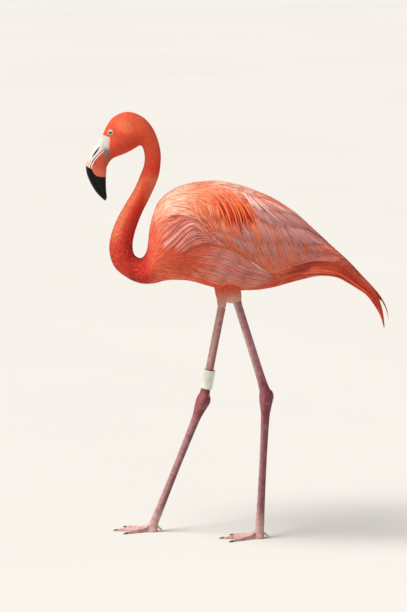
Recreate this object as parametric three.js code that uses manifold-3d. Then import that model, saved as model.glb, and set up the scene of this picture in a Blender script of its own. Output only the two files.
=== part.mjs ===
// A life-size American flamingo in mid-stride, standing on both feet.
// Millimetres, +Z up. The bird faces -X, its left side is -Y, and it stands on z = 0.
// The origin is on the floor, about midway between the bend of the bill and the tip of the tail.
import * as THREE from 'three';
import { mergeVertices } from 'three/addons/utils/BufferGeometryUtils.js';
import Module from 'manifold-3d';

const wasm = await Module();
wasm.setup();

// ---- driving dimensions ----
const GAP = 0.35; // clearance between neighbouring solids
const EYE_RADIUS = 7; // eyeball; its visible cap is about 10.5 across
const EYE_PLACE = new THREE.Vector3(-251.5, 15.9, 829.5);
const TARSUS_LENGTH = 284; // ankle joint to toe joint
const TOE_JOINT_HEIGHT = 13;
const FOOT_TOP = 21; // where the tarsus meets the foot
const MIDDLE_TOE = 76;
const TOE_SPREAD = THREE.MathUtils.degToRad(29);
const WEB_THICKNESS = 2;
const WING_THICKNESS = 10;
const BAND_HEIGHT = 39;
const BAND_WALL = 2;
const BAND_OUTER = 13.2;
const BAND_SHARE = 0.78; // where its middle lies between the thigh's hem and the ankle
const LEFT = -1;
const RIGHT = 1;

// ---- colours ----
const material = (color, roughness, metalness = 0) =>
  new THREE.MeshStandardMaterial({ color, roughness, metalness });
const PLUMAGE = material(0xf0623c, 0.85);
const WING_PLUMAGE = material(0xf58a6a, 0.85);
const TAIL_PLUMAGE = material(0xd9482c, 0.85);
const BILL_PALE = material(0xf0d8cc, 0.4);
const BILL_CORAL = material(0xd8532f, 0.4);
const EYE_YELLOW = material(0xe8d24a, 0.1);
const LEG_PINK = material(0xb5616a, 0.6);
const CLAW_DARK = material(0x2a2022, 0.4);
const BAND_WHITE = material(0xe9ecdf, 0.5);

// ---- tools ----
// A curve through plain number rows, one point at each whole index.
function curveOf(rows) {
  const points = rows.map((r) => new THREE.Vector3(...r));
  const curve = new THREE.CatmullRomCurve3(points, false, 'catmullrom', 0.5);
  return (index) => curve.getPoint(index / (rows.length - 1));
}

// A closed skin over rings of equal size, with a fan over each end.
function loft(rings) {
  const count = rings[0].length;
  const centre = (ring) =>
    ring.reduce((sum, p) => sum.add(p), new THREE.Vector3()).divideScalar(count);
  const points = [...rings.flat(), centre(rings[0]), centre(rings.at(-1))];
  const faces = [];
  const last = (rings.length - 1) * count;
  for (let k = 0; k < count; k++) {
    const next = (k + 1) % count;
    for (let i = 0; i < rings.length - 1; i++) {
      const a = i * count + k;
      const b = i * count + next;
      faces.push(a, b, a + count, b, b + count, a + count);
    }
    faces.push(points.length - 2, next, k);
    faces.push(points.length - 1, last + k, last + next);
  }
  const geometry = new THREE.BufferGeometry().setFromPoints(points);
  geometry.setIndex(faces);
  return geometry;
}

// A three.js geometry as a manifold-3d solid, turned right side out.
function solidOf(geometry) {
  const bare = geometry.clone();
  bare.deleteAttribute('normal');
  bare.deleteAttribute('uv');
  const merged = mergeVertices(bare, 1e-4);
  const triVerts = new Uint32Array(merged.index.array);
  const vertProperties = merged.attributes.position.array;
  const made = new wasm.Manifold(new wasm.Mesh({ numProp: 3, vertProperties, triVerts }));
  if (made.volume() >= 0) return made;
  triVerts.reverse();
  return new wasm.Manifold(new wasm.Mesh({ numProp: 3, vertProperties, triVerts }));
}

// The largest connected body of a solid, so that a cut leaves no crumbs.
const largest = (solid) =>
  solid.decompose().reduce((best, s) => (s.volume() > best.volume() ? s : best));

const flamingo = new THREE.Group();

// Adds a solid to the bird as a named mesh.
function add(name, solid, look) {
  const { numProp, vertProperties, triVerts } = largest(solid).getMesh();
  const places = new Float32Array((vertProperties.length / numProp) * 3);
  for (let i = 0; i < places.length / 3; i++)
    places.set(vertProperties.subarray(i * numProp, i * numProp + 3), i * 3);
  const geometry = new THREE.BufferGeometry();
  geometry.setAttribute('position', new THREE.BufferAttribute(places, 3));
  geometry.setIndex(new THREE.BufferAttribute(new Uint32Array(triVerts), 1));
  const mesh = new THREE.Mesh(geometry, look);
  mesh.name = name;
  flamingo.add(mesh);
}

// ---- head, neck and body: one form, drawn by its profile in the plane of symmetry ----
// Each row is one section: back x and z, belly x and z, and half its width across.
const SECTIONS = [
  // bill base, forehead, crown and nape
  [-270, 820, -260, 760, 12],
  [-265, 832, -255, 769, 15.5],
  [-258, 846, -248, 776, 19],
  [-248, 859, -236, 781, 22],
  [-235, 867, -223, 786, 23.5],
  [-218, 871, -211, 792, 24],
  [-200, 867, -201, 798, 23.5],
  [-183, 857, -194, 802, 22],
  [-168, 839, -189, 799, 20],
  // down the neck
  [-157, 814, -186, 789, 18.5],
  [-151, 787, -185, 776, 17.5],
  [-152, 758, -187, 762, 17.5],
  [-157, 734, -192, 748, 17.5],
  [-172, 699, -206, 716, 17.5],
  [-188, 667, -225, 684, 18],
  [-200, 636, -243, 651, 20],
  // round the low bend of the neck
  [-207, 609, -255, 617, 22],
  [-207, 592, -257, 585, 24],
  [-204, 582, -246, 554, 25],
  [-196, 576, -221, 533, 27],
  [-188, 577, -200, 523, 31],
  // breast and shoulders
  [-179, 590, -184, 520, 39],
  [-175, 613, -172, 520, 49],
  [-172, 640, -160, 522, 59],
  [-166, 665, -147, 526, 69],
  [-156, 689, -130, 528, 78],
  [-133, 711, -109, 528, 85],
  // back and belly
  [-103, 725, -85, 525, 89],
  [-69, 731, -59, 517, 90.5],
  [-33, 732, -29, 510, 90],
  [3, 725, 8, 507, 87],
  [40, 712, 42, 508, 82],
  [74, 697, 74, 513, 75],
  [105, 677, 103, 521, 67],
  [132, 655, 129, 528, 59],
  [161, 629, 153, 534, 50],
  [187, 605, 177, 537, 42],
  // the drooping tail plumes
  [209, 585, 204, 534, 35],
  [232, 563, 224, 524, 28],
  [252, 541, 244, 512, 22],
  [274, 518, 264, 498, 16.5],
  [292, 497, 281, 474, 11],
  [305, 473, 292, 451, 6.5],
  [310, 450, 298, 424, 3],
];
const HEAD_END = 8;
const NECK_CUTS = [8, 12.5, 16, 21];
const TRUNK_START = 21;
const TAIL_START = 37;
const WING_END = 39;
const TAIL_END = SECTIONS.length - 1;

const backLine = curveOf(SECTIONS.map(([x, z]) => [x, 0, z]));
const bellyLine = curveOf(SECTIONS.map(([, , x, z]) => [x, 0, z]));
const halfWidth = curveOf(SECTIONS.map((s) => [s[4], 0, 0]));

// One section of the form, moved out by grow: an oval, squarer than an ellipse and fuller at the top.
const SQUARENESS = 0.9;
const TOP_FULLNESS = 0.1;
function section(index, grow, sides) {
  const back = backLine(index);
  const belly = bellyLine(index);
  const up = back.clone().sub(belly).normalize();
  back.addScaledVector(up, grow);
  belly.addScaledVector(up, -grow);
  const wide = Math.max(halfWidth(index).x + grow, 0.5);
  const full = TOP_FULLNESS * THREE.MathUtils.smoothstep(index, TRUNK_START, TRUNK_START + 6);
  return Array.from({ length: sides }, (_, k) => {
    const turn = (2 * Math.PI * k) / sides;
    const height = (1 - Math.cos(turn)) / 2;
    const side = Math.sign(Math.sin(turn)) * Math.abs(Math.sin(turn)) ** SQUARENESS;
    const point = belly.clone().lerp(back, height);
    point.y = wide * side * (1 + full * (2 * height - 1));
    return point;
  });
}

// The form from one section to another, in steps of part of a section.
function form(from, to, { grow = 0, sides = 18, step = 0.5 } = {}) {
  const steps = Math.ceil((to - from) / step);
  const rings = [];
  for (let i = 0; i <= steps; i++)
    rings.push(section(from + ((to - from) * i) / steps, grow, sides));
  return solidOf(loft(rings));
}

const BODY_SIDES = 20;
const BODY_STEP = 0.75;
const bodyForm = (from, to) => form(from, to, { sides: BODY_SIDES, step: BODY_STEP });

// Half the clearance at a parting, as a share of the distance between two sections there.
const parting = (index) => {
  const span = Math.min(
    backLine(index - 0.5).distanceTo(backLine(index + 0.5)),
    bellyLine(index - 0.5).distanceTo(bellyLine(index + 0.5)),
  );
  return GAP / 2 / span;
};

// Eyes
const eyeball = (side, radius) => {
  const ball = new THREE.SphereGeometry(radius, 10, 8);
  ball.translate(EYE_PLACE.x, side * EYE_PLACE.y, EYE_PLACE.z);
  return solidOf(ball);
};
add('eye_left', eyeball(LEFT, EYE_RADIUS), EYE_YELLOW);
add('eye_right', eyeball(RIGHT, EYE_RADIUS), EYE_YELLOW);

// Head, with a socket for each eye
let head = form(0, HEAD_END - parting(HEAD_END));
for (const side of [LEFT, RIGHT]) head = head.subtract(eyeball(side, EYE_RADIUS + GAP));
add('head', head, PLUMAGE);

// Neck, in three lengths
['neck_upper', 'neck_middle', 'neck_lower'].forEach((name, i) => {
  const from = NECK_CUTS[i] + parting(NECK_CUTS[i]);
  const to = NECK_CUTS[i + 1] - parting(NECK_CUTS[i + 1]);
  add(name, form(from, to), PLUMAGE);
});

// ---- wings: shells cut from the sides of the form, inside an outline seen from the side ----
const WING_OUTLINE = [
  [-168, 628], // bend of the wing
  [-160, 668],
  [-135, 700],
  [-95, 716],
  [-45, 721],
  [5, 713],
  [55, 693],
  [105, 664],
  [150, 626],
  [190, 588],
  [222, 548], // tips of the long inner feathers
  [196, 556],
  [150, 549],
  [100, 536],
  [50, 546],
  [0, 570],
  [-50, 594],
  [-100, 606],
  [-145, 606],
];
const WING_REACH = 120; // further out than the body's side
const BACK_SEAM = 1; // half the gap between the wings over the back
function wingPrism(side, grow) {
  const outline = new THREE.Shape(WING_OUTLINE.map(([x, z]) => new THREE.Vector2(x, z)));
  const closed = new THREE.SplineCurve([...outline.getPoints(), outline.getPoints()[0]]);
  const points = closed.getPoints(WING_OUTLINE.length * 2).slice(0, -1);
  const outward = (a, b) => new THREE.Vector2(a.y - b.y, b.x - a.x).normalize();
  const grown = points.map((p, i) => {
    const before = outward(points.at(i - 1), p);
    const out = outward(p, points[(i + 1) % points.length]).add(before).normalize();
    return p.clone().addScaledVector(out, grow / Math.max(out.dot(before), 0.2));
  });
  const depth = WING_REACH - BACK_SEAM + grow;
  const prism = new THREE.ExtrudeGeometry(new THREE.Shape(grown), { depth, bevelEnabled: false });
  prism.rotateX(Math.PI / 2); // its depth now runs along -Y
  prism.translate(0, -BACK_SEAM + grow, 0);
  const solid = solidOf(prism);
  return side === LEFT ? solid : solid.mirror([0, 1, 0]);
}

const outerForm = bodyForm(TRUNK_START, TAIL_END);
const beneath = (depth) => form(TRUNK_START, WING_END, { sides: 12, step: 1.5, grow: -depth });
const innerForm = beneath(WING_THICKNESS);
const wingRoom = [LEFT, RIGHT].map((side) =>
  wingPrism(side, GAP).subtract(beneath(WING_THICKNESS + GAP)),
);
add('wing_left', outerForm.intersect(wingPrism(LEFT, 0)).subtract(innerForm), WING_PLUMAGE);
add('wing_right', outerForm.intersect(wingPrism(RIGHT, 0)).subtract(innerForm), WING_PLUMAGE);

// ---- trunk and tail: the rest of the form ----
let trunk = bodyForm(TRUNK_START + parting(TRUNK_START), TAIL_START - parting(TAIL_START));
let tail = form(TAIL_START + parting(TAIL_START), TAIL_END, { sides: 14 });
for (const room of wingRoom) {
  trunk = trunk.subtract(room);
  tail = tail.subtract(room);
}
add('trunk', trunk, PLUMAGE);
add('tail', tail, TAIL_PLUMAGE);

// ---- legs ----
// Places of the joints. Where no height is given, it follows from the length of the tarsus.
const LEGS = {
  left: {
    side: LEFT,
    hip: [-14, -30, 556],
    hem: [1, -29, 490],
    hemForward: 5,
    hemRadii: [14.5, 11],
    ankle: [61, -20],
    foot: [48, -16],
    heading: THREE.MathUtils.degToRad(4),
  },
  right: {
    side: RIGHT,
    hip: [-24, 30, 560],
    hem: [-29, 33, 470],
    hemForward: 0,
    hemRadii: [9, 8.5],
    ankle: [-66, 43],
    foot: [-170, 48],
    heading: THREE.MathUtils.degToRad(-4),
  },
};

// Oval rings across a path. Each row is x, y, z, half the size fore and aft, half the size across.
function limb(rows, steps, sides) {
  const line = curveOf(rows.map(([x, y, z]) => [x, y, z]));
  const size = curveOf(rows.map(([, , , deep, wide]) => [deep, wide, 0]));
  const rings = [];
  for (let i = 0; i <= steps; i++) {
    const index = ((rows.length - 1) * i) / steps;
    const slope = line(Math.min(index + 0.01, rows.length - 1)).sub(line(Math.max(index - 0.01, 0)));
    slope.normalize();
    const fore = new THREE.Vector3(0, 1, 0).cross(slope).normalize();
    const across = slope.clone().cross(fore);
    const { x: deep, y: wide } = size(index);
    rings.push(
      Array.from({ length: sides }, (_, k) => {
        const turn = (2 * Math.PI * k) / sides;
        return line(index)
          .addScaledVector(fore, deep * Math.cos(turn))
          .addScaledVector(across, wide * Math.sin(turn));
      }),
    );
  }
  return solidOf(loft(rings));
}

// The point that lies a share of the way from a to b.
const between = (a, b, share) => a.map((v, i) => v + (b[i] - v) * share);

// The ankle of a leg, at the height that gives the tarsus its length.
function ankleOf({ ankle, foot }) {
  const reach = Math.hypot(ankle[0] - foot[0], ankle[1] - foot[1]);
  return [...ankle, TOE_JOINT_HEIGHT + Math.sqrt(TARSUS_LENGTH ** 2 - reach ** 2)];
}

// A point on a foot: a distance out along the direction of a toe, at a height.
function onToe({ side, foot, heading }, turn, distance, height) {
  const angle = heading + side * turn * TOE_SPREAD;
  return [foot[0] - distance * Math.cos(angle), foot[1] - distance * Math.sin(angle), height];
}

// Feathered thigh, from inside the belly down to its hem
function thigh({ hip, hem, hemForward, hemRadii }) {
  const [deep, wide] = hemRadii;
  const end = [hem[0] - hemForward, hem[1], hem[2]];
  const rows = [
    [...hip, 30, 22],
    [...between(hip, end, 0.55), 19, 16],
    [...between(hip, end, 0.85), deep + 2, wide + 3],
    [...end, deep, wide],
  ];
  return limb(rows, 5, 12);
}

// Bare shank, from inside the hem down into the ankle
function shank(leg, grow) {
  const at = (share) => between(leg.hem, ankleOf(leg), share);
  const rows = [
    [...at(-0.06), 7.8 + grow, 6.4 + grow],
    [...at(0.1), 7.8 + grow, 6.2 + grow],
    [...at(0.5), 7.8 + grow, 5.8 + grow],
    [...at(0.8), 8.2 + grow, 6.2 + grow],
    [...at(0.93), 10 + grow, 7.6 + grow],
  ];
  return limb(rows, 6, 10);
}

// Knobbly ankle, tarsus and the joint of the toes, down through the floor
function lowerLeg(leg) {
  const ankle = ankleOf(leg);
  const toes = [...leg.foot, TOE_JOINT_HEIGHT];
  const start = between(leg.hem, ankle, 0.932);
  const rows = [
    [...start, 10.2, 7.8],
    [...between(start, ankle, 0.55), 13, 9.6],
    [...ankle, 14.2, 10.2],
    [...between(ankle, toes, 0.04), 13.4, 9.2],
    [...between(ankle, toes, 0.1), 10.4, 7.2],
    [...between(ankle, toes, 0.18), 8.2, 5.8],
    [...between(ankle, toes, 0.5), 7, 5.2],
    [...between(ankle, toes, 0.85), 7.8, 5.8],
    [...between(ankle, toes, 0.94), 9.4, 7.6],
    [...toes, 9.8, 8.6],
    [...onToe(leg, 0, 5, 4), 9.2, 9],
    [...onToe(leg, 0, 7, -3), 8, 8],
  ];
  return limb(rows, 18, 10);
}

// ---- feet: three webbed toes, flat underneath, with a raised hind toe ----
const TOES = [
  { name: 'inner', turn: 1, length: MIDDLE_TOE * 0.8 },
  { name: 'middle', turn: 0, length: MIDDLE_TOE },
  { name: 'outer', turn: -1, length: MIDDLE_TOE * 0.9 },
];
const TOE_ROOT = 5.6; // half the thickness of a toe at its root
const TOE_TIP = 3.2;
const KNUCKLES = [0, 0.2, 0.38, 0.52, 0.66, 0.8, 0.9, 1]; // by turns thin and thick
const WEB_SHARE = 0.86; // how far along each toe the web reaches
const WEB_NOTCH = 0.6; // how far out its free edge reaches between the toes
const CLAW_LENGTH = 8;
const CLAW_RADIUS = 1.9;

function toe(leg, { turn, length }) {
  const rows = KNUCKLES.map((share, i) => {
    const radius = THREE.MathUtils.lerp(TOE_ROOT, TOE_TIP, share) * (i % 2 ? 0.94 : 1.04);
    const end = share === 1 ? 0.7 : 1;
    return [...onToe(leg, turn, length * share, radius * 0.72), radius * end, radius * end];
  });
  return limb(rows, KNUCKLES.length - 1, 7);
}

// The web, from toe to toe, with a hollow free edge
function web(leg) {
  const outline = new THREE.Shape();
  const at = (turn, distance) => onToe(leg, turn, distance, 0).slice(0, 2);
  outline.moveTo(...at(0, -2));
  TOES.forEach(({ turn, length }, i) => {
    const tip = at(turn, length * WEB_SHARE);
    if (i === 0) outline.lineTo(...tip);
    else {
      const hollow = at((turn + TOES[i - 1].turn) / 2, length * WEB_NOTCH);
      outline.quadraticCurveTo(...hollow, ...tip);
    }
  });
  outline.closePath();
  const sheet = { depth: WEB_THICKNESS, bevelEnabled: false, curveSegments: 4 };
  return solidOf(new THREE.ExtrudeGeometry(outline, sheet));
}

// The instep, which slopes from the front of the tarsus down to the roots of the toes
function instep(leg) {
  const rows = [
    [...onToe(leg, 0, -1, 16), 8.4, 7.6],
    [...onToe(leg, 0, 9, 11), 7.4, 8],
    [...onToe(leg, 0, 19, 7), 5.6, 8],
    [...onToe(leg, 0, 29, 4), 3.6, 6],
  ];
  return limb(rows, 5, 10);
}

// Hind toe, small and clear of the floor
function hindToe(leg) {
  const rows = [
    [...onToe(leg, 0, -8, 11), 2.6, 2.6],
    [...onToe(leg, 0, -12, 9), 2.8, 2.8],
    [...onToe(leg, 0, -16, 6), 2.4, 2.4],
    [...onToe(leg, 0, -18.5, 4.4), 1.6, 1.6],
  ];
  return limb(rows, 3, 6);
}

// A short curved cone at the tip of a toe, just off the floor
function claw(leg, { turn, length }) {
  const at = (distance, height) => onToe(leg, turn, length + distance, height);
  const rows = [
    [...at(GAP, 2.2), CLAW_RADIUS, CLAW_RADIUS],
    [...at(CLAW_LENGTH * 0.5, 2.1), CLAW_RADIUS * 0.8, CLAW_RADIUS * 0.75],
    [...at(CLAW_LENGTH, 1), CLAW_RADIUS * 0.3, CLAW_RADIUS * 0.25],
  ];
  return limb(rows, 3, 6);
}

const bodyGrown = form(TRUNK_START, TAIL_END, { sides: BODY_SIDES, step: BODY_STEP, grow: GAP });
for (const [name, leg] of Object.entries(LEGS)) {
  add(`thigh_${name}`, thigh(leg).subtract(bodyGrown).subtract(shank(leg, GAP)), PLUMAGE);
  const lower = lowerLeg(leg);
  add(`shank_${name}`, shank(leg, 0).subtract(lower.translate(0, 0, GAP)), LEG_PINK);
  add(`tarsus_${name}`, lower.trimByPlane([0, 0, 1], FOOT_TOP + GAP / 2), LEG_PINK);

  let foot = lower.add(instep(leg)).trimByPlane([0, 0, -1], GAP / 2 - FOOT_TOP).add(web(leg));
  for (const item of TOES) foot = foot.add(toe(leg, item));
  add(`foot_${name}`, foot.trimByPlane([0, 0, 1], 0), LEG_PINK);
  const hind = hindToe(leg).subtract(lower).subtract(lower.translate(GAP, 0, 0));
  add(`hind_toe_${name}`, hind, LEG_PINK);
  for (const item of TOES) add(`claw_${name}_${item.name}`, claw(leg, item), CLAW_DARK);
}

// ---- bill: a shallow upper half and a deep lower half, both bent sharply down ----
// Each row is one section: outer edge x and z, mouth-line x and z, and half its width.
const UPPER_BILL = [
  [-270, 819.5, -266.2, 794.4, 11.6],
  [-277, 809.5, -271, 790.6, 11.8],
  [-284, 799, -276.6, 785.6, 11.8],
  [-291, 788, -283.2, 778.6, 11.6],
  [-298, 776.5, -289.4, 770.2, 11.2],
  [-302.2, 763, -292.9, 760, 10.8],
  [-301.4, 749, -291.8, 748, 10],
  [-297.4, 736, -288.4, 736.6, 9],
  [-291, 722.5, -282.8, 724.4, 7.8],
  [-281.5, 707.5, -275, 711, 6.2],
  [-271, 696.5, -267.6, 700.4, 4],
  [-264.6, 691.6, -263.6, 694, 1.8],
];
const LOWER_BILL = [
  [-260.2, 759.6, -265.9, 793.8, 12],
  [-261.4, 749, -271.5, 788.6, 13],
  [-262, 741, -278, 783, 13.2],
  [-262.2, 734, -285.4, 774.6, 12.8],
  [-262.2, 727, -290.8, 764.4, 12],
  [-262.2, 721, -291.8, 755, 11],
  [-262, 715, -289, 742.6, 9.6],
  [-261.6, 709, -283.6, 731, 8],
  [-261, 703, -275.6, 717.6, 6.2],
  [-260.6, 698, -268.4, 705.2, 4],
  [-261.4, 695.2, -264.4, 698.6, 2],
];
// A bill half: an arch over its outer edge, closed by a flat mouth side
const BILL_SIDES = 9;
function billHalf(rows, arch) {
  const edge = curveOf(rows.map(([x, z]) => [x, 0, z]));
  const mouth = curveOf(rows.map(([, , x, z]) => [x, 0, z]));
  const width = curveOf(rows.map((r) => [r[4], 0, 0]));
  const steps = Math.round((rows.length - 1) * 1.5);
  const rings = [];
  for (let i = 0; i <= steps; i++) {
    const index = ((rows.length - 1) * i) / steps;
    rings.push(
      Array.from({ length: BILL_SIDES + 1 }, (_, k) => {
        const turn = (Math.PI * k) / BILL_SIDES;
        const point = mouth(index).lerp(edge(index), Math.sin(turn) ** arch);
        point.y = width(index).x * Math.cos(turn);
        return point;
      }),
    );
  }
  return solidOf(loft(rings));
}
const headGrown = form(0, 1.5, { grow: GAP });
const upperBill = billHalf(UPPER_BILL, 0.8);
const upperGrown = upperBill.add(upperBill.translate(GAP, 0, -GAP));
const lowerBill = billHalf(LOWER_BILL, 0.9).subtract(upperGrown);
add('bill_upper', upperBill.subtract(headGrown), BILL_PALE);
add('bill_lower', lowerBill.subtract(headGrown), BILL_CORAL);

// ---- leg band: a loose ring just above the right ankle ----
const bandProfile = [
  [BAND_OUTER - BAND_WALL, -BAND_HEIGHT / 2],
  [BAND_OUTER, -BAND_HEIGHT / 2],
  [BAND_OUTER, BAND_HEIGHT / 2],
  [BAND_OUTER - BAND_WALL, BAND_HEIGHT / 2],
  [BAND_OUTER - BAND_WALL, -BAND_HEIGHT / 2],
].map(([r, z]) => new THREE.Vector2(r, z));
const band = new THREE.LatheGeometry(bandProfile, 16);
const bandedAnkle = ankleOf(LEGS.right);
const upward = new THREE.Vector3(...LEGS.right.hem).sub(new THREE.Vector3(...bandedAnkle)).normalize();
band.applyQuaternion(new THREE.Quaternion().setFromUnitVectors(new THREE.Vector3(0, 1, 0), upward));
band.translate(...between(LEGS.right.hem, bandedAnkle, BAND_SHARE));
add('leg_band', solidOf(band), BAND_WHITE);

export default flamingo;
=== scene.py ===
from math import pi, radians

import bpy
import numpy as np
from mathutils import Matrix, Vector


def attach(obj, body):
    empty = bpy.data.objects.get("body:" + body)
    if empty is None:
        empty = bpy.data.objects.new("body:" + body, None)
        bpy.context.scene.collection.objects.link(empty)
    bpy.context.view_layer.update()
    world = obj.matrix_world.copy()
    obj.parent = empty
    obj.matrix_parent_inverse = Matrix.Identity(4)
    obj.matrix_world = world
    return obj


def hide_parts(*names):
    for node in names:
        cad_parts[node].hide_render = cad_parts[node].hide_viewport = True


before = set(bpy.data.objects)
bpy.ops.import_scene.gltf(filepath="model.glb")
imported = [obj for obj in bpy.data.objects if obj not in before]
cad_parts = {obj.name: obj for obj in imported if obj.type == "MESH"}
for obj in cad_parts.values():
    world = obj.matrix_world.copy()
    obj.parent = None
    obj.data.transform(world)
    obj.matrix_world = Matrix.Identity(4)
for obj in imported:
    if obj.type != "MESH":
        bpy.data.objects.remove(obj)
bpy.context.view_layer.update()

# The bird faces -X, its left side is -Y, and it stands on z = 0. Rows of places are in millimetres.
MM = 0.001
LEFT, RIGHT = -1, 1
SIDES = {"left": LEFT, "right": RIGHT}

# ---------------------------------------------------------------------------------------------
# Camera and lights
# ---------------------------------------------------------------------------------------------


def make_camera():
    """A long lens, level with the side of the bird and looking a little down."""
    data = bpy.data.cameras.new("camera")
    data.lens, data.sensor_width = 200, 36
    data.clip_end = 200
    camera = bpy.data.objects.new("camera", data)
    camera.location = (-0.066, -6.8, 1.5)
    camera.rotation_euler = (radians(90 - 8.56), 0, 0)
    bpy.context.collection.objects.link(camera)
    bpy.context.scene.camera = camera


def make_light(name, place, aim, size, power, colour):
    """A square soft box at a place, facing a point."""
    data = bpy.data.lights.new(name, "AREA")
    data.size, data.energy, data.color = size, power, colour
    light = bpy.data.objects.new(name, data)
    light.location = place
    light.rotation_euler = (light.location - Vector(aim)).to_track_quat("Z", "Y").to_euler()
    bpy.context.collection.objects.link(light)


def make_sun(direction, power, spread, colour):
    """Even light from one direction, as from a very large and distant lamp."""
    data = bpy.data.lights.new("key_light", "SUN")
    data.energy, data.angle, data.color = power, radians(spread), colour
    sun = bpy.data.objects.new("key_light", data)
    sun.rotation_euler = Vector(direction).to_track_quat("Z", "Y").to_euler()
    bpy.context.collection.objects.link(sun)


make_camera()
make_sun((-0.6, -0.25, 1.15), 4.8, 36, (1, 0.97, 0.93))
make_light("fill_light", (-1.0, -4.2, 1.6), (0, 0, 0.5), 2.6, 11, (1, 0.98, 0.97))
world = bpy.data.worlds.new("studio")
world.use_nodes = True
world.node_tree.nodes["Background"].inputs["Color"].default_value = (0.86, 0.87, 0.88, 1)
world.node_tree.nodes["Background"].inputs["Strength"].default_value = 0.32
bpy.context.scene.world = world
bpy.context.scene.view_settings.view_transform = "Standard"

# ---------------------------------------------------------------------------------------------
# Shader maths
# ---------------------------------------------------------------------------------------------


class Wire:
    """A socket's value in a sum: + - and * add the Math nodes they stand for."""

    def __init__(self, finish, socket):
        self.finish, self.socket = finish, socket

    def maths(self, operation, a, b):
        return self.finish.node("ShaderNodeMath", {0: a, 1: b}, operation=operation)

    def __add__(self, other):
        return self.maths("ADD", self, other)

    def __sub__(self, other):
        return self.maths("SUBTRACT", self, other)

    def __rsub__(self, other):
        return self.maths("SUBTRACT", other, self)

    def __mul__(self, other):
        return self.maths("MULTIPLY", self, other)

    __radd__, __rmul__ = __add__, __mul__

    def rise(self, low, high):
        """0 below low, 1 above high, smooth between."""
        inputs = {"Value": self, "From Min": low, "From Max": high}
        return self.finish.node("ShaderNodeMapRange", inputs, interpolation_type="SMOOTHSTEP")


class Finish:
    """A material. Constants go on the shader's own sockets, and node() adds whatever feeds it."""

    def __init__(self, name, **constants):
        self.material = bpy.data.materials.new(name)
        self.material.use_nodes = True
        self.tree = self.material.node_tree
        self.shader = self.tree.nodes["Principled BSDF"]
        for socket, value in constants.items():
            self.shader.inputs[socket.replace("_", " ")].default_value = value

    def node(self, kind, inputs, output=0, stops=None, **settings):
        """Adds a node: its settings, then its ramp's stops, then the values or links of its sockets."""
        made = self.tree.nodes.new(kind)
        for name, value in settings.items():
            setattr(made, name, value)
        if stops:
            ramp = made.color_ramp.elements
            while len(ramp) < len(stops):
                ramp.new(0.5)
            for element, (place, colour) in zip(ramp, stops):
                element.position, element.color = place, (*colour, 1)
        for key, value in dict(inputs).items():
            if isinstance(value, Wire):
                self.tree.links.new(value.socket, made.inputs[key])
            else:
                made.inputs[key].default_value = value
        return Wire(self, made.outputs[output])

    def mix(self, share, a, b, blend="MIX"):
        """Colour a turning into colour b."""
        colours = [c if isinstance(c, Wire) else (*c, 1) for c in (a, b)]
        inputs = {0: share, 6: colours[0], 7: colours[1]}
        return self.node("ShaderNodeMix", inputs, 2, data_type="RGBA", blend_type=blend)

    def attribute(self, name, output=0):
        return self.node("ShaderNodeAttribute", (), output, attribute_name=name)

    def noise(self, scale, detail, roughness, vector=None):
        """Fractal noise on object coordinates, or on the vector given."""
        if vector is None:
            vector = self.node("ShaderNodeTexCoord", (), 3)
        inputs = {"Vector": vector, "Scale": scale, "Detail": detail, "Roughness": roughness}
        return self.node("ShaderNodeTexNoise", inputs)

    def stretched(self, map_name, scale):
        """A piece's own map, stretched by a factor each way."""
        place = self.node("ShaderNodeUVMap", (), uv_map=map_name)
        return self.node("ShaderNodeMapping", {"Vector": place, "Scale": scale})

    def bump(self, height, strength, distance):
        inputs = {"Height": height, "Strength": strength, "Distance": distance}
        self.feed("Normal", self.node("ShaderNodeBump", inputs))

    def feed(self, socket, wire):
        self.tree.links.new(wire.socket, self.shader.inputs[socket])


def colour(code):
    """A colour written as six hex digits, as linear light."""
    value = np.array([int(code[i : i + 2], 16) for i in (0, 2, 4)]) / 255
    return np.where(value < 0.04045, value / 12.92, ((value + 0.055) / 1.055) ** 2.4)


# ---------------------------------------------------------------------------------------------
# Surfaces
# ---------------------------------------------------------------------------------------------


def smooth(x):
    """0 below 0, 1 above 1, and 3x^2 - 2x^3 between."""
    x = np.clip(x, 0, 1)
    return x * x * (3 - 2 * x)


def unit(v):
    return v / np.maximum(np.linalg.norm(v, axis=-1, keepdims=True), 1e-12)


def spline(rows, at):
    """A curve through rows at whole numbers: between two rows the cubic whose slope at each of them is half
    the step between its neighbours."""
    rows = np.asarray(rows, float)
    ends = [2 * rows[:1] - rows[1:2], rows, 2 * rows[-1:] - rows[-2:-1]]
    padded = np.concatenate(ends)
    at = np.asarray(at, float)
    i = np.clip(np.floor(at).astype(int), 0, len(rows) - 2)
    t = (at - i).reshape(at.shape + (1,) * (rows.ndim - 1))
    a, b, c, d = (padded[i + k] for k in range(4))
    return b + 0.5 * t * (c - a + t * (2 * a - 5 * b + 4 * c - d + t * (3 * (b - c) + d - a)))


def between(a, b, share):
    """The point or the colour that lies a share of the way from a to b."""
    return np.asarray(a, float) + (np.asarray(b, float) - np.asarray(a, float)) * share


def slopes(surface, p, q):
    """A surface's point, outward normal and its two slopes, from differences over a small step."""
    step = 1e-3
    along = (surface(p + step, q) - surface(p - step, q)) / (2 * step)
    around = (surface(p, q + step) - surface(p, q - step)) / (2 * step)
    return surface(p, q), unit(np.cross(around, along)), along, around


def tube(rings):
    """Faces over rings of equal size, with a fan over each end. Points are the rings and the two middles."""
    count, sides = rings.shape[:2]
    points = np.concatenate([rings.reshape(-1, 3), rings[[0, -1]].mean(1)])
    i = np.arange(count - 1)[:, None] * sides
    k = np.arange(sides)[None]
    n = (k + 1) % sides
    quads = np.stack([i + k, i + n, i + n + sides, i + k + sides], -1).reshape(-1, 4)
    k, n, last = k[0], n[0], (count - 1) * sides
    start = np.stack([np.full(sides, count * sides), n, k], -1)
    end = np.stack([np.full(sides, count * sides + 1), last + k, last + n], -1)
    return outward(points, [quads, start, end])


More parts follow.
